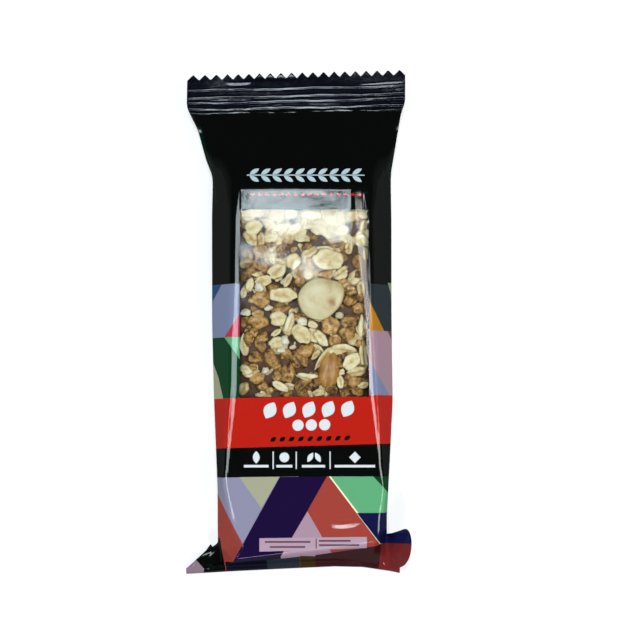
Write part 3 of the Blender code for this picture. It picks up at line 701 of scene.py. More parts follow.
def lay_panel(art):
    """The small pale panel low on the pack, with two short lines each side of a thin rule."""
    art.lay("panel", art.straight((-10.9, -60.2), (18.9, -59.8), (18.9, -63.0), (-10.9, -63.9)))
    for left, right, y in ((-9.4, 3.2, -61.2), (-8.0, 1.8, -62.6), (5.6, 14.4, -60.9), (5.6, 16.8, -62.1)):
        art.lay("plum", art.straight(*level(left, right, y - 0.25, y + 0.25)))
    art.lay("plum", art.straight(*level(4.7, 5.0, -63.1, -60.3)))


# How wide the film's soft waves and its finer crinkle are. Real crinkles are about half as wide; these
# are drawn coarser, so that they show.
WAVE_WIDTH = 6.25 * MM
CRINKLE_WIDTH = 10 / 7 * MM


def film_slack(tree):
    """The slack that light shows in the tight film: soft waves and a finer crinkle."""
    where = add(tree, "ShaderNodeTexCoord", output="Object")
    broad = add(tree, "ShaderNodeTexNoise", {"Vector": where, "Scale": 1 / WAVE_WIDTH, "Detail": 2.0,
                                             "Roughness": 0.4})
    crinkle = add(tree, "ShaderNodeTexNoise", {"Vector": where, "Scale": 1 / CRINKLE_WIDTH, "Detail": 3.0,
                                               "Roughness": 0.5, "Distortion": 1.2})
    soft = add(tree, "ShaderNodeBump", {"Strength": 0.16, "Distance": 0.3 * MM, "Height": broad})
    fine = add(tree, "ShaderNodeBump", {"Strength": 0.06, "Distance": 0.1 * MM, "Height": crinkle,
                                        "Normal": soft})
    return fine, crinkle


# How much of the light the film mirrors. It is set low and the same at every slant, so that the black
# walls stay as deep as they are beside a white table, and the lamps are brighter to make up for it.
MIRRORED = 0.0108


def printed_gloss_film():
    """Oriented polypropylene film, printed on its inner face.

    The eye sees clean flat ink and a deep black, under a gloss with sharp, narrow streaks of light.
    """
    material, tree = new_material("printed_gloss_film")
    art = Print(tree, "black")
    for ink, *corners in FIELDS:
        art.lay(ink, art.straight(*corners))
    for lay_signs in (lay_ear, lay_almonds, lay_marks, lay_panel):
        lay_signs(art)
    normal, crinkle = film_slack(tree)
    wear = add(tree, "ShaderNodeMapRange", {"Value": crinkle, "From Min": 0.35, "From Max": 0.7,
                                            "To Min": 0.06, "To Max": 0.11})
    ink = add(tree, "ShaderNodeBsdfPrincipled", {"Base Color": art.colour, "Specular IOR Level": 0.0})
    gloss = add(tree, "ShaderNodeBsdfAnisotropic", {"Roughness": wear, "Normal": normal})
    layers = add(tree, "ShaderNodeMixShader", (MIRRORED, ink, gloss))
    add(tree, "ShaderNodeOutputMaterial", (layers,))
    return material


def clear_gloss_film():
    """The same film where it bears no ink: the eye looks through it and sees only what it mirrors."""
    material, tree = new_material("clear_gloss_film")
    normal, _ = film_slack(tree)
    seen_through = add(tree, "ShaderNodeBsdfTransparent", (linear("#f7f8f6"),))
    gloss = add(tree, "ShaderNodeBsdfAnisotropic", {"Roughness": 0.08, "Normal": normal})
    layers = add(tree, "ShaderNodeMixShader", (MIRRORED, seen_through, gloss))
    add(tree, "ShaderNodeOutputMaterial", (layers,))
    return material


def food_material(name, colours, grain_mm, depth_mm, roughness, shine=0.0, speckle=0.3):
    """A matt food surface whose colour varies from piece to piece and over the piece, and darkens with each
    point's mark of browning or of painted shade in its hollows.

    colours run from the darkest to the lightest; grain_mm is how wide its grit is, depth_mm how deep, shine
    how much of a clear sugar or oil coat it has, and speckle how much the grit's colour varies.
    """
    material, tree = new_material(name)
    where = add(tree, "ShaderNodeTexCoord", output="Object")
    own = add(tree, "ShaderNodeAttribute", output="Fac", attribute_name="own_shade")
    browning_and_painted_shade = add(tree, "ShaderNodeAttribute", output="Fac", attribute_name="browning_and_painted_shade")
    patches = add(tree, "ShaderNodeTexNoise", {"Vector": where, "Scale": 1000 / (grain_mm * 3), "Detail": 4.0,
                                               "Roughness": 0.6})
    grit = add(tree, "ShaderNodeTexNoise", {"Vector": where, "Scale": 1000 / grain_mm, "Detail": 5.0,
                                            "Roughness": 0.65})
    mixed = add(tree, "ShaderNodeMath", (own, 0.35, patches), operation="MULTIPLY_ADD")
    sunk = add(tree, "ShaderNodeMath", (grit, 0.5), operation="SUBTRACT")
    worn = add(tree, "ShaderNodeMath", (sunk, speckle, mixed), operation="MULTIPLY_ADD")
    # Darker by each point's browning mark or by its painted shade in hollows
    toned = add(tree, "ShaderNodeMath", (browning_and_painted_shade, -0.5, worn), operation="MULTIPLY_ADD")
    shade = add(tree, "ShaderNodeMapRange", {"Value": toned, "From Min": 0.25, "From Max": 1.0})
    colour = add(tree, "ShaderNodeValToRGB", (shade,))
    stops = colour.node.color_ramp.elements
    while len(stops) < len(colours):
        stops.new(0.5)
    for number, (stop, hex_colour) in enumerate(zip(stops, colours)):
        stop.position = number / (len(colours) - 1)
        stop.color = linear(hex_colour)
    bump = add(tree, "ShaderNodeBump", {"Strength": 0.8, "Distance": depth_mm * MM, "Height": grit})
    shader = add(tree, "ShaderNodeBsdfPrincipled", {"Base Color": colour, "Roughness": roughness, "IOR": 1.45,
                                                    "Coat Weight": shine, "Coat Roughness": 0.3,
                                                    "Normal": bump})
    add(tree, "ShaderNodeOutputMaterial", (shader,))
    return material


SEED = 41
BAR_MIDDLE_X = 1.2 * MM
BAR_WIDTH = 38.4 * MM
BAR_ENDS = (-60.5 * MM, 36.5 * MM)
BAR_BASE_Z = 1.2 * MM
BAR_TOP_Z = 13.4 * MM
CORE_TOP_Z = 11.0 * MM

# Flakes that show: x, y, length, width in millimetres, turn in degrees, how deep their top lies in millimetres
FLAKES = (
    (8.2, 17.6, 8.8, 6.1, -14, 0.1), (7.2, 20.3, 5.4, 2.2, -5, 0.9), (-6.2, 14.3, 5.4, 4.3, 35, 0.2),
    (-4.5, 7.6, 8.1, 4.2, -4, 0.2), (-3.2, 11.7, 4.3, 2.1, 62, 0.0), (-10.1, 11.6, 4.8, 3.4, 10, 0.9),
    (-1.7, 17.1, 4.5, 4.2, 80, 0.8), (2.6, 13.1, 2.7, 2.5, 0, 1.0), (11.6, 14.0, 5.5, 1.7, 38, 0.6),
    (-5.8, 1.0, 5.0, 4.4, 20, 0.4), (-2.6, -0.3, 5.9, 2.0, 72, 0.1), (-6.4, -3.0, 3.2, 1.6, 35, 0.5),
    (0.7, -3.3, 6.4, 4.8, -52, 0.4), (3.8, -0.7, 3.0, 2.1, -20, 0.9), (6.2, -4.5, 5.4, 2.9, -55, 0.5),
    (-6.3, -5.7, 4.8, 3.2, 15, 1.2), (6.7, -10.1, 8.4, 1.7, 52, 0.0), (4.7, -9.2, 3.4, 1.6, 50, 0.5),
    (12.4, -7.7, 7.7, 2.6, -6, 0.3), (14.7, -11.1, 6.2, 3.9, 42, 0.2), (16.1, -13.9, 5.4, 2.2, 12, 0.5),
    (11.6, -16.8, 3.9, 2.1, -80, 0.6), (18.0, -8.7, 7.1, 2.1, 95, 0.3), (17.7, -1.0, 6.8, 1.6, 88, 0.4),
    (2.4, -15.5, 7.0, 2.2, -9, 0.3), (-5.2, -18.0, 5.0, 2.5, -28, 0.5), (-14.8, -13.3, 3.8, 2.6, -20, 0.7),
    (-15.6, -18.7, 4.3, 3.0, 60, 0.5), (5.5, -19.8, 3.6, 2.2, 10, 0.4), (18.0, -17.7, 3.3, 2.1, 20, 0.6),
    (-13.8, 10.5, 4.0, 2.4, 80, 0.6), (-15.6, 8.3, 3.0, 2.1, 80, 0.8), (-7.5, 17.9, 3.6, 1.8, 100, 0.9),
    (-15.5, -6.4, 6.8, 2.0, 95, 0.5), (14.0, 20.9, 4.3, 2.1, 85, 0.5), (-6.3, 30.2, 5.4, 3.3, 15, 0.2),
    (-2.5, 30.6, 3.9, 2.9, -10, 0.5), (3.4, 30.3, 6.2, 2.9, -5, 0.2), (-12.8, 26.6, 5.4, 4.0, 30, 0.2),
    (8.8, 28.8, 3.9, 3.2, 0, 0.5), (14.7, 29.9, 4.3, 3.2, 20, 0.3), (-7.8, 23.7, 4.6, 2.5, 10, 0.4),
    (-14.5, 30.2, 3.9, 2.9, -30, 0.5), (-1.3, 26.0, 4.3, 2.9, 40, 0.4), (5.1, 26.1, 3.9, 2.9, -35, 0.6),
    (12.2, 25.8, 3.6, 2.9, 10, 0.3), (0.8, 23.5, 3.9, 2.1, 0, 0.6), (18.1, 27.0, 4.3, 1.6, 70, 0.4),
    (18.5, 23.1, 3.9, 1.4, 95, 0.4), (18.7, 19.2, 3.6, 1.3, 95, 0.5),
)
# Chopped nuts that show: x, y, length, width in millimetres, turn in degrees
NUGGETS = (
    (-11.0, 6.4, 5.9, 5.4, 0), (-11.5, 0.2, 5.2, 4.1, 0), (-4.9, 20.5, 4.6, 3.3, 90),
    (-8.5, 22.4, 3.6, 3.0, 0), (-11.0, 20.0, 3.4, 3.1, 0), (-13.1, 15.2, 4.1, 3.6, 20),
    (-10.3, 16.0, 3.3, 2.5, 0), (3.0, 17.0, 4.6, 3.6, -60), (0.1, 12.0, 4.5, 3.2, 80),
    (7.4, 13.6, 3.8, 1.9, 5), (9.9, 22.4, 5.4, 2.2, 5), (13.0, 20.9, 2.9, 2.5, 0), (14.6, 9.0, 3.4, 3.0, 0),
    (14.5, 6.0, 3.4, 3.1, 0), (16.7, 3.8, 3.2, 3.0, 0), (-4.9, 3.7, 6.1, 2.9, 0), (8.6, -1.0, 5.4, 4.6, 40),
    (13.8, 0.3, 5.4, 3.4, 15), (13.7, -3.6, 5.5, 4.9, 0), (10.3, -4.8, 3.0, 2.6, 0),
    (-14.1, -4.0, 3.4, 3.2, 0), (-10.2, -3.9, 3.5, 3.2, 0), (-12.6, -2.8, 2.9, 2.1, 0),
    (-3.5, -8.7, 4.0, 3.3, 0), (-7.7, -10.5, 5.4, 4.6, 100), (-12.2, -10.0, 4.0, 3.3, 0),
    (2.2, -8.0, 5.0, 4.0, 80), (0.3, -11.0, 4.7, 3.7, 0), (-2.8, -13.8, 6.1, 3.7, 75),
    (14.6, -16.5, 4.7, 3.7, 0), (17.1, -6.0, 2.6, 2.1, 0), (-11.3, -15.8, 4.4, 3.0, 0),
    (-6.0, -15.1, 3.4, 2.9, 0), (-9.9, -18.0, 3.2, 2.5, 0), (-8.1, -19.1, 2.9, 2.1, 0),
    (0.9, -18.3, 4.7, 4.0, 80), (9.4, -18.8, 3.6, 2.9, 0), (16.5, -19.4, 3.2, 2.5, 0),
    (11.5, -12.3, 2.5, 2.1, 0), (-0.6, 1.3, 2.9, 2.1, 0), (16.2, 17.4, 3.9, 3.6, 90),
    (-14.5, 19.2, 3.2, 2.9, 0), (-3.1, 23.1, 2.9, 2.1, 0), (-6.3, -12.3, 2.1, 1.8, 0),
    (5.1, -16.5, 2.9, 2.1, 0), (13.0, -20.1, 3.2, 2.1, 0), (-3.5, -20.1, 3.2, 2.1, 0),
    (-12.8, -12.6, 2.1, 1.8, 0),
)
# Crumbs of white nut: x, y, length, width in millimetres
CRUMBS = (
    (-11.2, 9.8, 2.7, 2.5), (-8.5, 4.0, 2.2, 1.5), (-15.0, 2.7, 2.6, 1.9), (1.2, 0.1, 2.9, 2.2),
    (11.5, 2.0, 2.2, 1.8), (-3.8, -5.1, 2.1, 2.9), (-1.7, -7.1, 1.8, 1.1), (-4.9, -7.9, 2.1, 1.3),
    (-9.3, -13.7, 1.9, 1.8), (-4.2, 11.3, 1.8, 1.4), (-7.8, 20.1, 1.3, 1.1), (-11.0, -20.5, 2.1, 1.4),
)


class Heap:
    """Gathers the pieces of one kind into one mesh, each with a shade of its own and its browning and painted
    hollow shade marked.
    """

    def __init__(self):
        self.points, self.faces, self.shades, self.browning_and_painted_shades = [], [], [], []
        self.count = 0

    def put(self, points, faces, shade, browning_and_painted_shade=0.0):
        self.points.append(points)
        self.faces += [tuple(i + self.count for i in face) for face in faces]
        self.shades.append(np.full(len(points), shade))
        self.browning_and_painted_shades.append(np.zeros(len(points)) + browning_and_painted_shade)
        self.count += len(points)

    def build(self, name, material):
        thing = mesh_piece(name, np.vstack(self.points), self.faces, material)
        for label, values in (("own_shade", self.shades), ("browning_and_painted_shade", self.browning_and_painted_shades)):
            noted = thing.data.attributes.new(label, "FLOAT", "POINT")
            noted.data.foreach_set("value", np.concatenate(values))
        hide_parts("nut_bar")


def turned(points, lean, roll, turn):
    """Turns points by a lean about x, a roll about y, then a turn about z, in degrees."""
    matrix = np.array(Euler([math.radians(a) for a in (lean, roll, turn)]).to_matrix())
    return points @ matrix.T


# The bar's face is level up to here on each side of its middle, and then slopes down
LEVEL_HALF = 14.5 * MM
FACE_SLOPE = 0.25


def set_down(points, x, y, top):
    """Moves points to x, y with their highest point at top, or lower by the bar's long edges."""
    beside = np.clip(abs(x - BAR_MIDDLE_X) - LEVEL_HALF, 0, None)
    return points + np.array([x, y, top - FACE_SLOPE * beside - points[:, 2].max()])


def disc_faces(rings, around):
    """Faces of a flat closed body: upper and lower fans of rings that share the rim."""
    faces = []
    rim = 2 * (1 + (rings - 1) * around)
    for side in (0, 1):
        base = side * (1 + (rings - 1) * around)
        starts = [base + 1 + ring * around for ring in range(rings - 1)] + [rim]
        for i in range(around):
            j = (i + 1) % around
            side_faces_here = [(base, starts[0] + i, starts[0] + j)]
            for inner, outer in zip(starts, starts[1:]):
                side_faces_here.append((inner + i, outer + i, outer + j, inner + j))
            faces += [face if side == 0 else face[::-1] for face in side_faces_here]
    return faces


def disc_points(length, width, outline, upper, lower, rings, around):
    """Points of a flat body from its outline and its faces' heights, and each point's place from -1 to 1."""
    angles = np.linspace(0, 2 * math.pi, around, endpoint=False)
    shares = np.linspace(0, 1, rings + 1)[1:] ** 0.8
    reach = outline(angles)
    a = np.concatenate([[0.0], np.tile(angles, rings - 1)])
    r = np.concatenate([[0.0], np.repeat(shares[:-1], around)])
    k = np.concatenate([[1.0], np.tile(reach, rings - 1)])
    x, y = r * k * np.cos(a), r * k * np.sin(a)
    rim_x, rim_y, ones = reach * np.cos(angles), reach * np.sin(angles), np.ones(around)
    rim = (upper(rim_x, rim_y, ones) + lower(rim_x, rim_y, ones)) / 2
    all_x, all_y = np.concatenate([x, x, rim_x]), np.concatenate([y, y, rim_y])
    heights = np.concatenate([upper(x, y, r), lower(x, y, r), rim])
    return np.stack([all_x * length / 2, all_y * width / 2, heights], 1), all_x, all_y


FLAKE_RINGS, FLAKE_AROUND = 7, 30
FLAKE_FACES = disc_faces(FLAKE_RINGS, FLAKE_AROUND)
# How uneven a flake's outline is: the size of each wave, as a share of its reach, and how many go round it
FLAKE_WAVES = ((0.05, 2), (0.05, 5), (0.03, 9))
# From the least to the most that a flake is curled, twisted and split at one end, as shares of its length
FLAKE_CURL = (-0.10, 0.16)
FLAKE_TWIST = (-0.1, 0.1)
FLAKE_SPLIT = (0.0, 0.25)


def flake(draw, length, width, thick):
    """A rolled oat flake: an uneven oval with the grain's crease down its middle, a little curled.

    Its middle is browner than its edge, and the crease is the brownest.
    """
    phases = draw.uniform(0, 2 * math.pi, 4)
    curl, twist, split = draw.uniform(*FLAKE_CURL), draw.uniform(*FLAKE_TWIST), draw.uniform(*FLAKE_SPLIT)

    def outline(a):
        waves = sum(size * np.sin(count * a + phase) for (size, count), phase in zip(FLAKE_WAVES, phases))
        return 1 + waves - split * np.exp(-(((a - math.pi + 0.3 * math.sin(phases[3])) / 0.22) ** 2))

    def bend(x, y):
        return length * (curl * (x ** 2 - 0.3) + 0.5 * curl * y ** 2 + twist * x * y)

    def upper(x, y, r):
        swell = thick / 2 * (1 - np.minimum(r, 1) ** 3) ** 0.5
        crease = 0.4 * np.exp(-((y / 0.16) ** 2)) * (1 - x ** 2).clip(0)
        ripple = 0.12 * np.sin(7 * x + phases[0]) * np.sin(5 * y + phases[1])
        return swell * (1 - crease + ripple) + bend(x, y)

    def lower(x, y, r):
        return -thick / 2 * (1 - np.minimum(r, 1) ** 3) ** 0.5 + bend(x, y)

    points, x, y = disc_points(length, width, outline, upper, lower, FLAKE_RINGS, FLAKE_AROUND)
    inside = (1 - x ** 2).clip(0)
    browning_and_painted_shade = inside * (0.42 * np.exp(-((y / 0.5) ** 2)) + 0.14 * np.exp(-(((y - 0.05) / 0.14) ** 2)))
    return points, browning_and_painted_shade


def ball(subdivisions):
    """Points and faces of a round ball with even triangles."""
    bm = bmesh.new()
    bmesh.ops.create_icosphere(bm, subdivisions=subdivisions, radius=1.0)
    points = np.array([v.co[:] for v in bm.verts])
    faces = [tuple(v.index for v in f.verts) for f in bm.faces]
    bm.free()
    return points, faces


BALLS = {detail: ball(detail) for detail in (2, 3, 4)}
# How deep a nut's broken faces cut, as a share of its reach, and how much larger it is made to make up for them
BROKEN_FACES = (0.62, 0.86)
MADE_LARGER = 1.14


def chopped(draw, length, width, thick, detail, cuts=6, lumps=0.10, knobs=20):
    """A chopped nut or baked crumb: a ball with broken faces and a knobbly skin, darker in its hollows with
    painted shade.
    """
    points, faces = BALLS[detail]
    reach = np.full(len(points), 1.0)
    for cut in range(cuts):
        normal = draw.normal(size=3)
        normal /= np.linalg.norm(normal)
        facing = points @ normal
        depth = draw.uniform(*BROKEN_FACES)
        reach = np.where(facing > 0.05, np.minimum(reach, depth / np.maximum(facing, 0.05)), reach)
    shift = Vector(draw.uniform(0, 90, 3))
    skin = np.array([noise.fractal(Vector(p) * 3.4 + shift, 0.7, 2.2, 4) for p in points])
    # Darker in the skin's hollows and, further down, between the knobs: painted shade
    browning_and_painted_shade = np.clip(0.15 - 0.5 * skin, 0, 1)
    if knobs:
        centres = draw.normal(size=(knobs, 3))
        centres /= np.linalg.norm(centres, axis=1, keepdims=True)
        between = np.clip((0.97 - (points @ centres.T).max(1)) / 0.25, 0, 1)
        reach = reach * (1.05 - 0.22 * between)
        browning_and_painted_shade = np.clip(browning_and_painted_shade + 0.6 * between, 0, 1)
    reach = reach * (1 + lumps * skin)
    return points * reach[:, None] * np.array([length, width, thick]) / 2 * MADE_LARGER, faces, browning_and_painted_shade


# Pieces that fill the spaces between and below the others: how deep they lie, how many flakes, how many
# nuts, and from where to where along the bar, in millimetres
FILLING = ((1.2, 60, 90, -22.0, 32.4), (2.4, 40, 60, -22.0, 32.4), (0.5, 40, 0, 22.5, 32.4))


def scatter_filling(draw, flakes, nuggets):
    """Lays the filling pieces anywhere behind the window, and more flakes towards its upper end."""
    for layer_depth, flake_count, nugget_count, low_y, high_y in FILLING:
        for number in range(flake_count + nugget_count):
            x = draw.uniform(WINDOW_X[0] - MM, WINDOW_X[1] + MM)
            y = draw.uniform(low_y, high_y) * MM
            x = min(max(x, BAR_MIDDLE_X - BAR_WIDTH / 2 + 3 * MM), BAR_MIDDLE_X + BAR_WIDTH / 2 - 3 * MM)
            top = BAR_TOP_Z - (layer_depth + draw.uniform(0, 0.7)) * MM
            shade = draw.uniform(0, 0.7)
            if number < flake_count:
                length = draw.uniform(3.6, 6.4) * MM
                width, thick = length * draw.uniform(0.55, 0.8), draw.uniform(0.8, 1.2) * MM
                body, browning_and_painted_shade = flake(draw, length, width, thick)
                body = turned(body, draw.uniform(-35, 35), draw.uniform(-20, 20), draw.uniform(0, 360))
                flakes.put(set_down(body, x, y, top), FLAKE_FACES, shade, browning_and_painted_shade)
            else:
                length = draw.uniform(2.4, 4.4) * MM
                body, faces, browning_and_painted_shade = chopped(draw, length, length * draw.uniform(0.7, 0.95), length * 0.7, 2)
                body = turned(body, draw.uniform(-30, 30), draw.uniform(-30, 30), draw.uniform(0, 360))
                nuggets.put(set_down(body, x, y, top), faces, shade, browning_and_painted_shade)


# How far the almond slice reaches from its middle, in millimetres, at each turn in degrees
SLICE_REACH = np.array([
    (0, 6.1), (20, 7.1), (34, 7.5), (46, 7.1), (60, 6.1), (75, 5.95), (90, 6.05), (135, 6.2), (160, 6.45),
    (180, 6.6), (225, 6.3), (250, 6.0), (270, 6.0), (290, 5.6), (315, 5.2), (340, 5.65), (360, 6.1),
])
SLICE_HALF = 6.3
ALMOND_RINGS, ALMOND_AROUND = 20, 72
# Brown spots on the almond slice, in shares of its half width: x, y, reach, depth
ALMOND_SPOTS = ((-0.41, 0.03, 0.20, 0.4), (0.48, -0.14, 0.17, 0.8), (0.6, -0.26, 0.12, 0.4),
                (0.0, -0.5, 0.2, 0.15))


def almond_slice():
    """A slice of almond: round with one corner, hardly crowned, its edge rounded over."""
    def outline(a):
        near = np.degrees(a)[None, :] + np.array([-8, -4, 0, 4, 8])[:, None]
        return np.interp(near % 360, *SLICE_REACH.T).mean(0) / SLICE_HALF

    def upper(x, y, r):
        rim = (1 - np.minimum(r, 1) ** 6) ** 0.5
        return MM * (0.75 * rim + 0.22 * (1 - r ** 2) + 0.06 * np.sin(4 * x + 1) * np.sin(3 * y))

    def lower(x, y, r):
        return -0.7 * MM * (1 - np.minimum(r, 1) ** 5) ** 0.5

    size = 2 * SLICE_HALF * MM
    points, x, y = disc_points(size, size, outline, upper, lower, ALMOND_RINGS, ALMOND_AROUND)
    browning_and_painted_shade = sum(depth * np.exp(-((x - spot_x) ** 2 + (y - spot_y) ** 2) / reach ** 2)
               for spot_x, spot_y, reach, depth in ALMOND_SPOTS)
    return points, disc_faces(ALMOND_RINGS, ALMOND_AROUND), browning_and_painted_shade


def make_bar_pieces():
    """Everything that shows behind the window, and the pressed core below and beyond it."""
    draw = np.random.RandomState(SEED)
    flakes, nuggets, crumbs, almond, kernel = Heap(), Heap(), Heap(), Heap(), Heap()

    for x, y, length, width, turn, depth in FLAKES:
        edge_on = width < 0.45 * length
        full_width = width * 1.5 if edge_on else width
        body, browning_and_painted_shade = flake(draw, length * MM, full_width * MM, draw.uniform(0.9, 1.3) * MM)
        lean = draw.uniform(38, 52) if edge_on else draw.uniform(-10, 10)
        body = turned(body, lean, draw.uniform(-6, 6), turn)
        body = set_down(body, x * MM, y * MM, BAR_TOP_Z - depth * MM)
        flakes.put(body, FLAKE_FACES, draw.uniform(0.3, 1), browning_and_painted_shade)
    for x, y, length, width, turn in NUGGETS:
        body, faces, browning_and_painted_shade = chopped(draw, length * MM, width * MM, 0.5 * (length + width) * 0.8 * MM, 3)
        body = turned(body, draw.uniform(-15, 15), draw.uniform(-15, 15), turn)
        body = set_down(body, x * MM, y * MM, BAR_TOP_Z - draw.uniform(0.4, 1.1) * MM)
        nuggets.put(body, faces, draw.uniform(0.2, 1), browning_and_painted_shade)
    for x, y, length, width in CRUMBS:
        body, faces, browning_and_painted_shade = chopped(draw, length * MM, width * MM, 1.4 * MM, 3, lumps=0.25)
        crumbs.put(set_down(body, x * MM, y * MM, BAR_TOP_Z - 0.3 * MM), faces, draw.uniform(0, 1), browning_and_painted_shade)
    scatter_filling(draw, flakes, nuggets)

    body, faces, browning_and_painted_shade = almond_slice()
    almond.put(set_down(turned(body, -3, 4, 0), 6.2 * MM, 6.4 * MM, BAR_TOP_Z + 0.3 * MM), faces, 0.5, browning_and_painted_shade)

    # The whole kernel, long and amber, with a shallow furrow down it, darker in the furrow as painted shade
    body, faces, browning_and_painted_shade = chopped(draw, 9.6 * MM, 5.4 * MM, 4.0 * MM, 4, cuts=0, lumps=0.04, knobs=0)
    furrow = 0.5 * MM * np.exp(-((body[:, 1] / (0.5 * MM)) ** 2)) * np.clip(body[:, 2] / MM, 0, 1)
    body[:, 2] -= furrow
    kernel.put(set_down(turned(body, 4, 0, 84), 8.5 * MM, -13.5 * MM, BAR_TOP_Z), faces, 0.5, furrow / MM)

    # Rolled oats: pressed flat, dull and dry; the eye sees cream that is yellower down the middle
    oat = food_material("rolled_oat", ("#94733f", "#b39a66", "#c7b78b", "#d4caa6", "#dcd5b9"),
                        grain_mm=0.6, depth_mm=0.05, roughness=0.5)
    # Chopped nuts toasted in syrup: the eye sees rough golden tan and a sugar shine; its darkest colours are
    # painted shade, in the hollows and on the pressed core in the gaps
    nut = food_material("toasted_chopped_nut", ("#49290f", "#84602e", "#ab8144", "#c49c60", "#d3b883"),
                        grain_mm=0.8, depth_mm=0.7, roughness=0.5, shine=0.1, speckle=1.2)
    # Nut meat freshly broken: the eye sees small chalky white crumbs
    white = food_material("broken_nut_meat", ("#b3a88a", "#d3ccb8", "#dfdbcd"),
                          grain_mm=0.5, depth_mm=0.1, roughness=0.6)
    # Almond cut across with a knife: the eye sees a smooth, waxy ivory face with a few brown spots
    ivory = food_material("sliced_almond", ("#916a35", "#a98d5c", "#b9ac84", "#c2b896", "#c8bf9e"),
                          grain_mm=2.2, depth_mm=0.02, roughness=0.38, shine=0.1)
    # A whole almond in its dry skin: the eye sees warm amber with fine long grain and a soft oily shine
    amber = food_material("almond_in_skin", ("#704719", "#8f6129", "#a67a3e", "#bf985d"),
                          grain_mm=0.9, depth_mm=0.06, roughness=0.4, shine=0.2)
    flakes.build("oat_flakes", oat)
    nuggets.build("chopped_nuts", nut)
    crumbs.build("white_crumbs", white)
    almond.build("almond_slice", ivory)
    kernel.build("almond_kernel", amber)
    make_core(nut)


CORE_STEP = 1.6 * MM
CORE_EDGE = 2.4 * MM
CORNER_CUT = 6.0 * MM
CORE_SUNK = 0.5 * MM
CORE_ROUGH = 0.45 * MM
# Lumps of the rough face, in lumps per metre: one every 2 mm or so
CORE_LUMPS = 450


def make_core(material):
    """The pressed bar itself: a block with soft edges and a rough face of crumbs, in the nut's darkest colours
    as painted shade in the gaps between the pieces.
    """
    low = np.array([BAR_MIDDLE_X - BAR_WIDTH / 2, BAR_ENDS[0], BAR_BASE_Z])
    high = np.array([BAR_MIDDLE_X + BAR_WIDTH / 2, BAR_ENDS[1], CORE_TOP_Z])
    bm = bmesh.new()
    bmesh.ops.create_cube(bm, size=1.0)
    for vert in bm.verts:
        vert.co = Vector((low + high) / 2 + (high - low) * np.array(vert.co))
    for axis in range(3):
        normal = Vector([float(axis == i) for i in range(3)])
        cuts = round((high[axis] - low[axis]) / CORE_STEP)
        for cut in range(1, cuts):
            place = Vector(low + (high - low) * cut / cuts)
            whole = bm.verts[:] + bm.edges[:] + bm.faces[:]
            bmesh.ops.bisect_plane(bm, geom=whole, plane_co=place, plane_no=normal)
    points = np.array([v.co[:] for v in bm.verts])
    faces = [tuple(v.index for v in f.verts) for f in bm.faces]
    bm.free()
    held = np.clip(points, low + CORE_EDGE, high - CORE_EDGE)
    out = points - held
    far = np.linalg.norm(out, axis=1, keepdims=True)
    out = np.divide(out, far, out=np.zeros_like(out), where=far > 0)
    rough = np.array([noise.fractal(Vector(p) * CORE_LUMPS, 0.8, 2.0, 3) for p in points])[:, None]
    points = held + out * (CORE_EDGE - CORE_SUNK + CORE_ROUGH * rough)
    short = np.clip(CORNER_CUT - (points[:, 0] - low[0]) - (points[:, 1] - low[1]), 0, None)
    points[:, 0] += short / 2
    points[:, 1] += short / 2
    core = Heap()
    # The core takes the nut's darkest colours: painted shade for the gaps between the pieces above it
    core.put(points, faces, shade=0.0, browning_and_painted_shade=1.0)
    core.build("pressed_core", material)


def soft_box(name, place, aim, size, radiance, colour):
    """A lit panel of the given width and height that faces its aim."""
    light = bpy.data.lights.new(name, "AREA")
    light.shape = "RECTANGLE"
    light.size, light.size_y = size
    light.energy = radiance * size[0] * size[1] * math.pi
    light.color = linear(colour)[:3]
    thing = bpy.data.objects.new(name, light)
    thing.location = place
    thing.rotation_euler = (Vector(aim) - Vector(place)).to_track_quat("-Z", "Y").to_euler()
    bpy.context.scene.collection.objects.link(thing)


FLOOR_REACH = 8.0
# Soft boxes: one that the flat top mirrors, one for the crimped seal, one for each long edge of the bar and
# one for the lower end. Each has its place and aim, its width and height, all in metres, then its radiance
# and its colour.
SOFT_BOXES = {
    "soft_box_top": ((-0.012, 0.213, 1.2), (0, 0.03, 0), (0.112, 0.146), 70.0, "#e6f8ff"),
    "soft_box_seal": ((-0.01, 0.33, 1.2), (0, 0.06, 0), (0.24, 0.07), 51.0, "#e4eeff"),
    "soft_box_left": ((-0.53, -0.02, 0.87), (0, -0.02, 0), (0.40, 0.10), 40.0, "#eef8fc"),
    "soft_box_right": ((0.51, -0.02, 0.87), (0, -0.02, 0), (0.40, 0.10), 43.0, "#fffdf8"),
    "soft_box_lower_end": ((0.095, -0.77, 0.71), (0, -0.06, 0), (0.17, 0.12), 50.0, "#f4f8ff"),
}


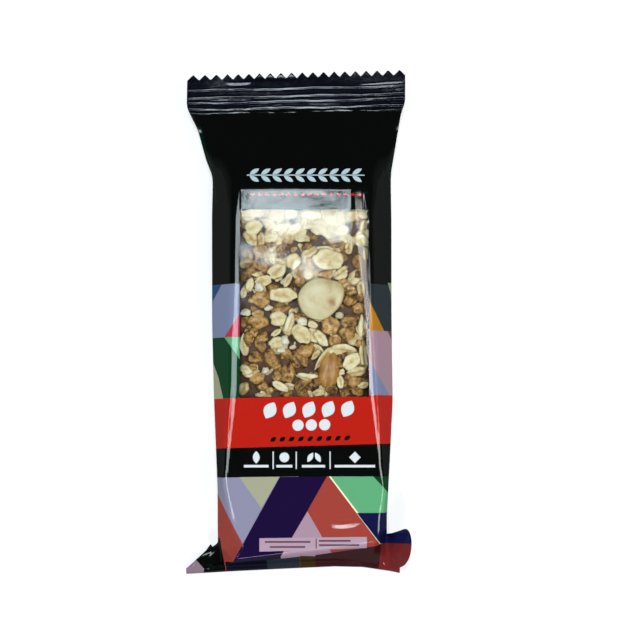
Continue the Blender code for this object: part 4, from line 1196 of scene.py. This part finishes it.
def make_stage():
    """A plain white lit table, soft boxes above and to all sides, and a dim room.

    The table glows a little from within, so that the eye sees even white without a shadow's hard edge.
    """
    mesh = bpy.data.meshes.new("floor")
    corners = [(x * FLOOR_REACH, y * FLOOR_REACH, 0) for x, y in ((-1, -1), (1, -1), (1, 1), (-1, 1))]
    mesh.from_pydata(corners, [], [(0, 1, 2, 3)])
    floor = bpy.data.objects.new("floor", mesh)
    bpy.context.scene.collection.objects.link(floor)
    material, tree = new_material("white_light_table")
    shader = add(tree, "ShaderNodeBsdfPrincipled", {"Base Color": linear("#b4b4b4"), "Roughness": 0.9,
                                                    "Specular IOR Level": 0.0, "Emission Strength": 0.55,
                                                    "Emission Color": linear("#ffffff")})
    add(tree, "ShaderNodeOutputMaterial", (shader,))
    mesh.materials.append(material)

    for name, (place, aim, size, radiance, colour) in SOFT_BOXES.items():
        soft_box(name, place, aim, size, radiance, colour)

    world = bpy.data.worlds.new("dim_room")
    world.use_nodes = True
    tree = world.node_tree
    tree.nodes.clear()
    direction = add(tree, "ShaderNodeTexCoord", output="Generated")
    upward = add(tree, "ShaderNodeSeparateXYZ", (direction,), "Z")
    height = add(tree, "ShaderNodeMapRange", {"Value": upward, "From Min": 0.06, "From Max": 0.4,
                                              "To Min": 0.6, "To Max": 0.06},
                 interpolation_type="SMOOTHSTEP")
    air = add(tree, "ShaderNodeBackground", {"Color": (1.0, 1.0, 1.0, 1.0), "Strength": height})
    add(tree, "ShaderNodeOutputWorld", (air,))
    bpy.context.scene.world = world
    bpy.context.scene.view_settings.view_transform = "Standard"


CAMERA_DISTANCE = 0.62
CAMERA_ELEVATION = 86.5
VIEW_MIDDLE = Vector((5.9 * MM, 0.6 * MM, 12 * MM)) + Vector(CENTRING)
VIEW_WIDTH = 179.3 * MM
SENSOR = 36.0


def make_camera():
    """The camera nearly above the pack, a little towards its lower end."""
    data = bpy.data.cameras.new("camera")
    data.sensor_width = SENSOR
    data.lens = SENSOR * CAMERA_DISTANCE / VIEW_WIDTH
    data.clip_start, data.clip_end = 0.01, 20
    camera = bpy.data.objects.new("camera", data)
    tilt = math.radians(CAMERA_ELEVATION)
    camera.location = VIEW_MIDDLE + CAMERA_DISTANCE * Vector((0, -math.cos(tilt), math.sin(tilt)))
    camera.rotation_euler = (math.radians(90 - CAMERA_ELEVATION), 0, 0)
    bpy.context.scene.collection.objects.link(camera)
    bpy.context.scene.camera = camera


film_print = printed_gloss_film()
make_film(film_print, clear_gloss_film())
make_fin(film_print)
make_bar_pieces()
make_stage()
make_camera()
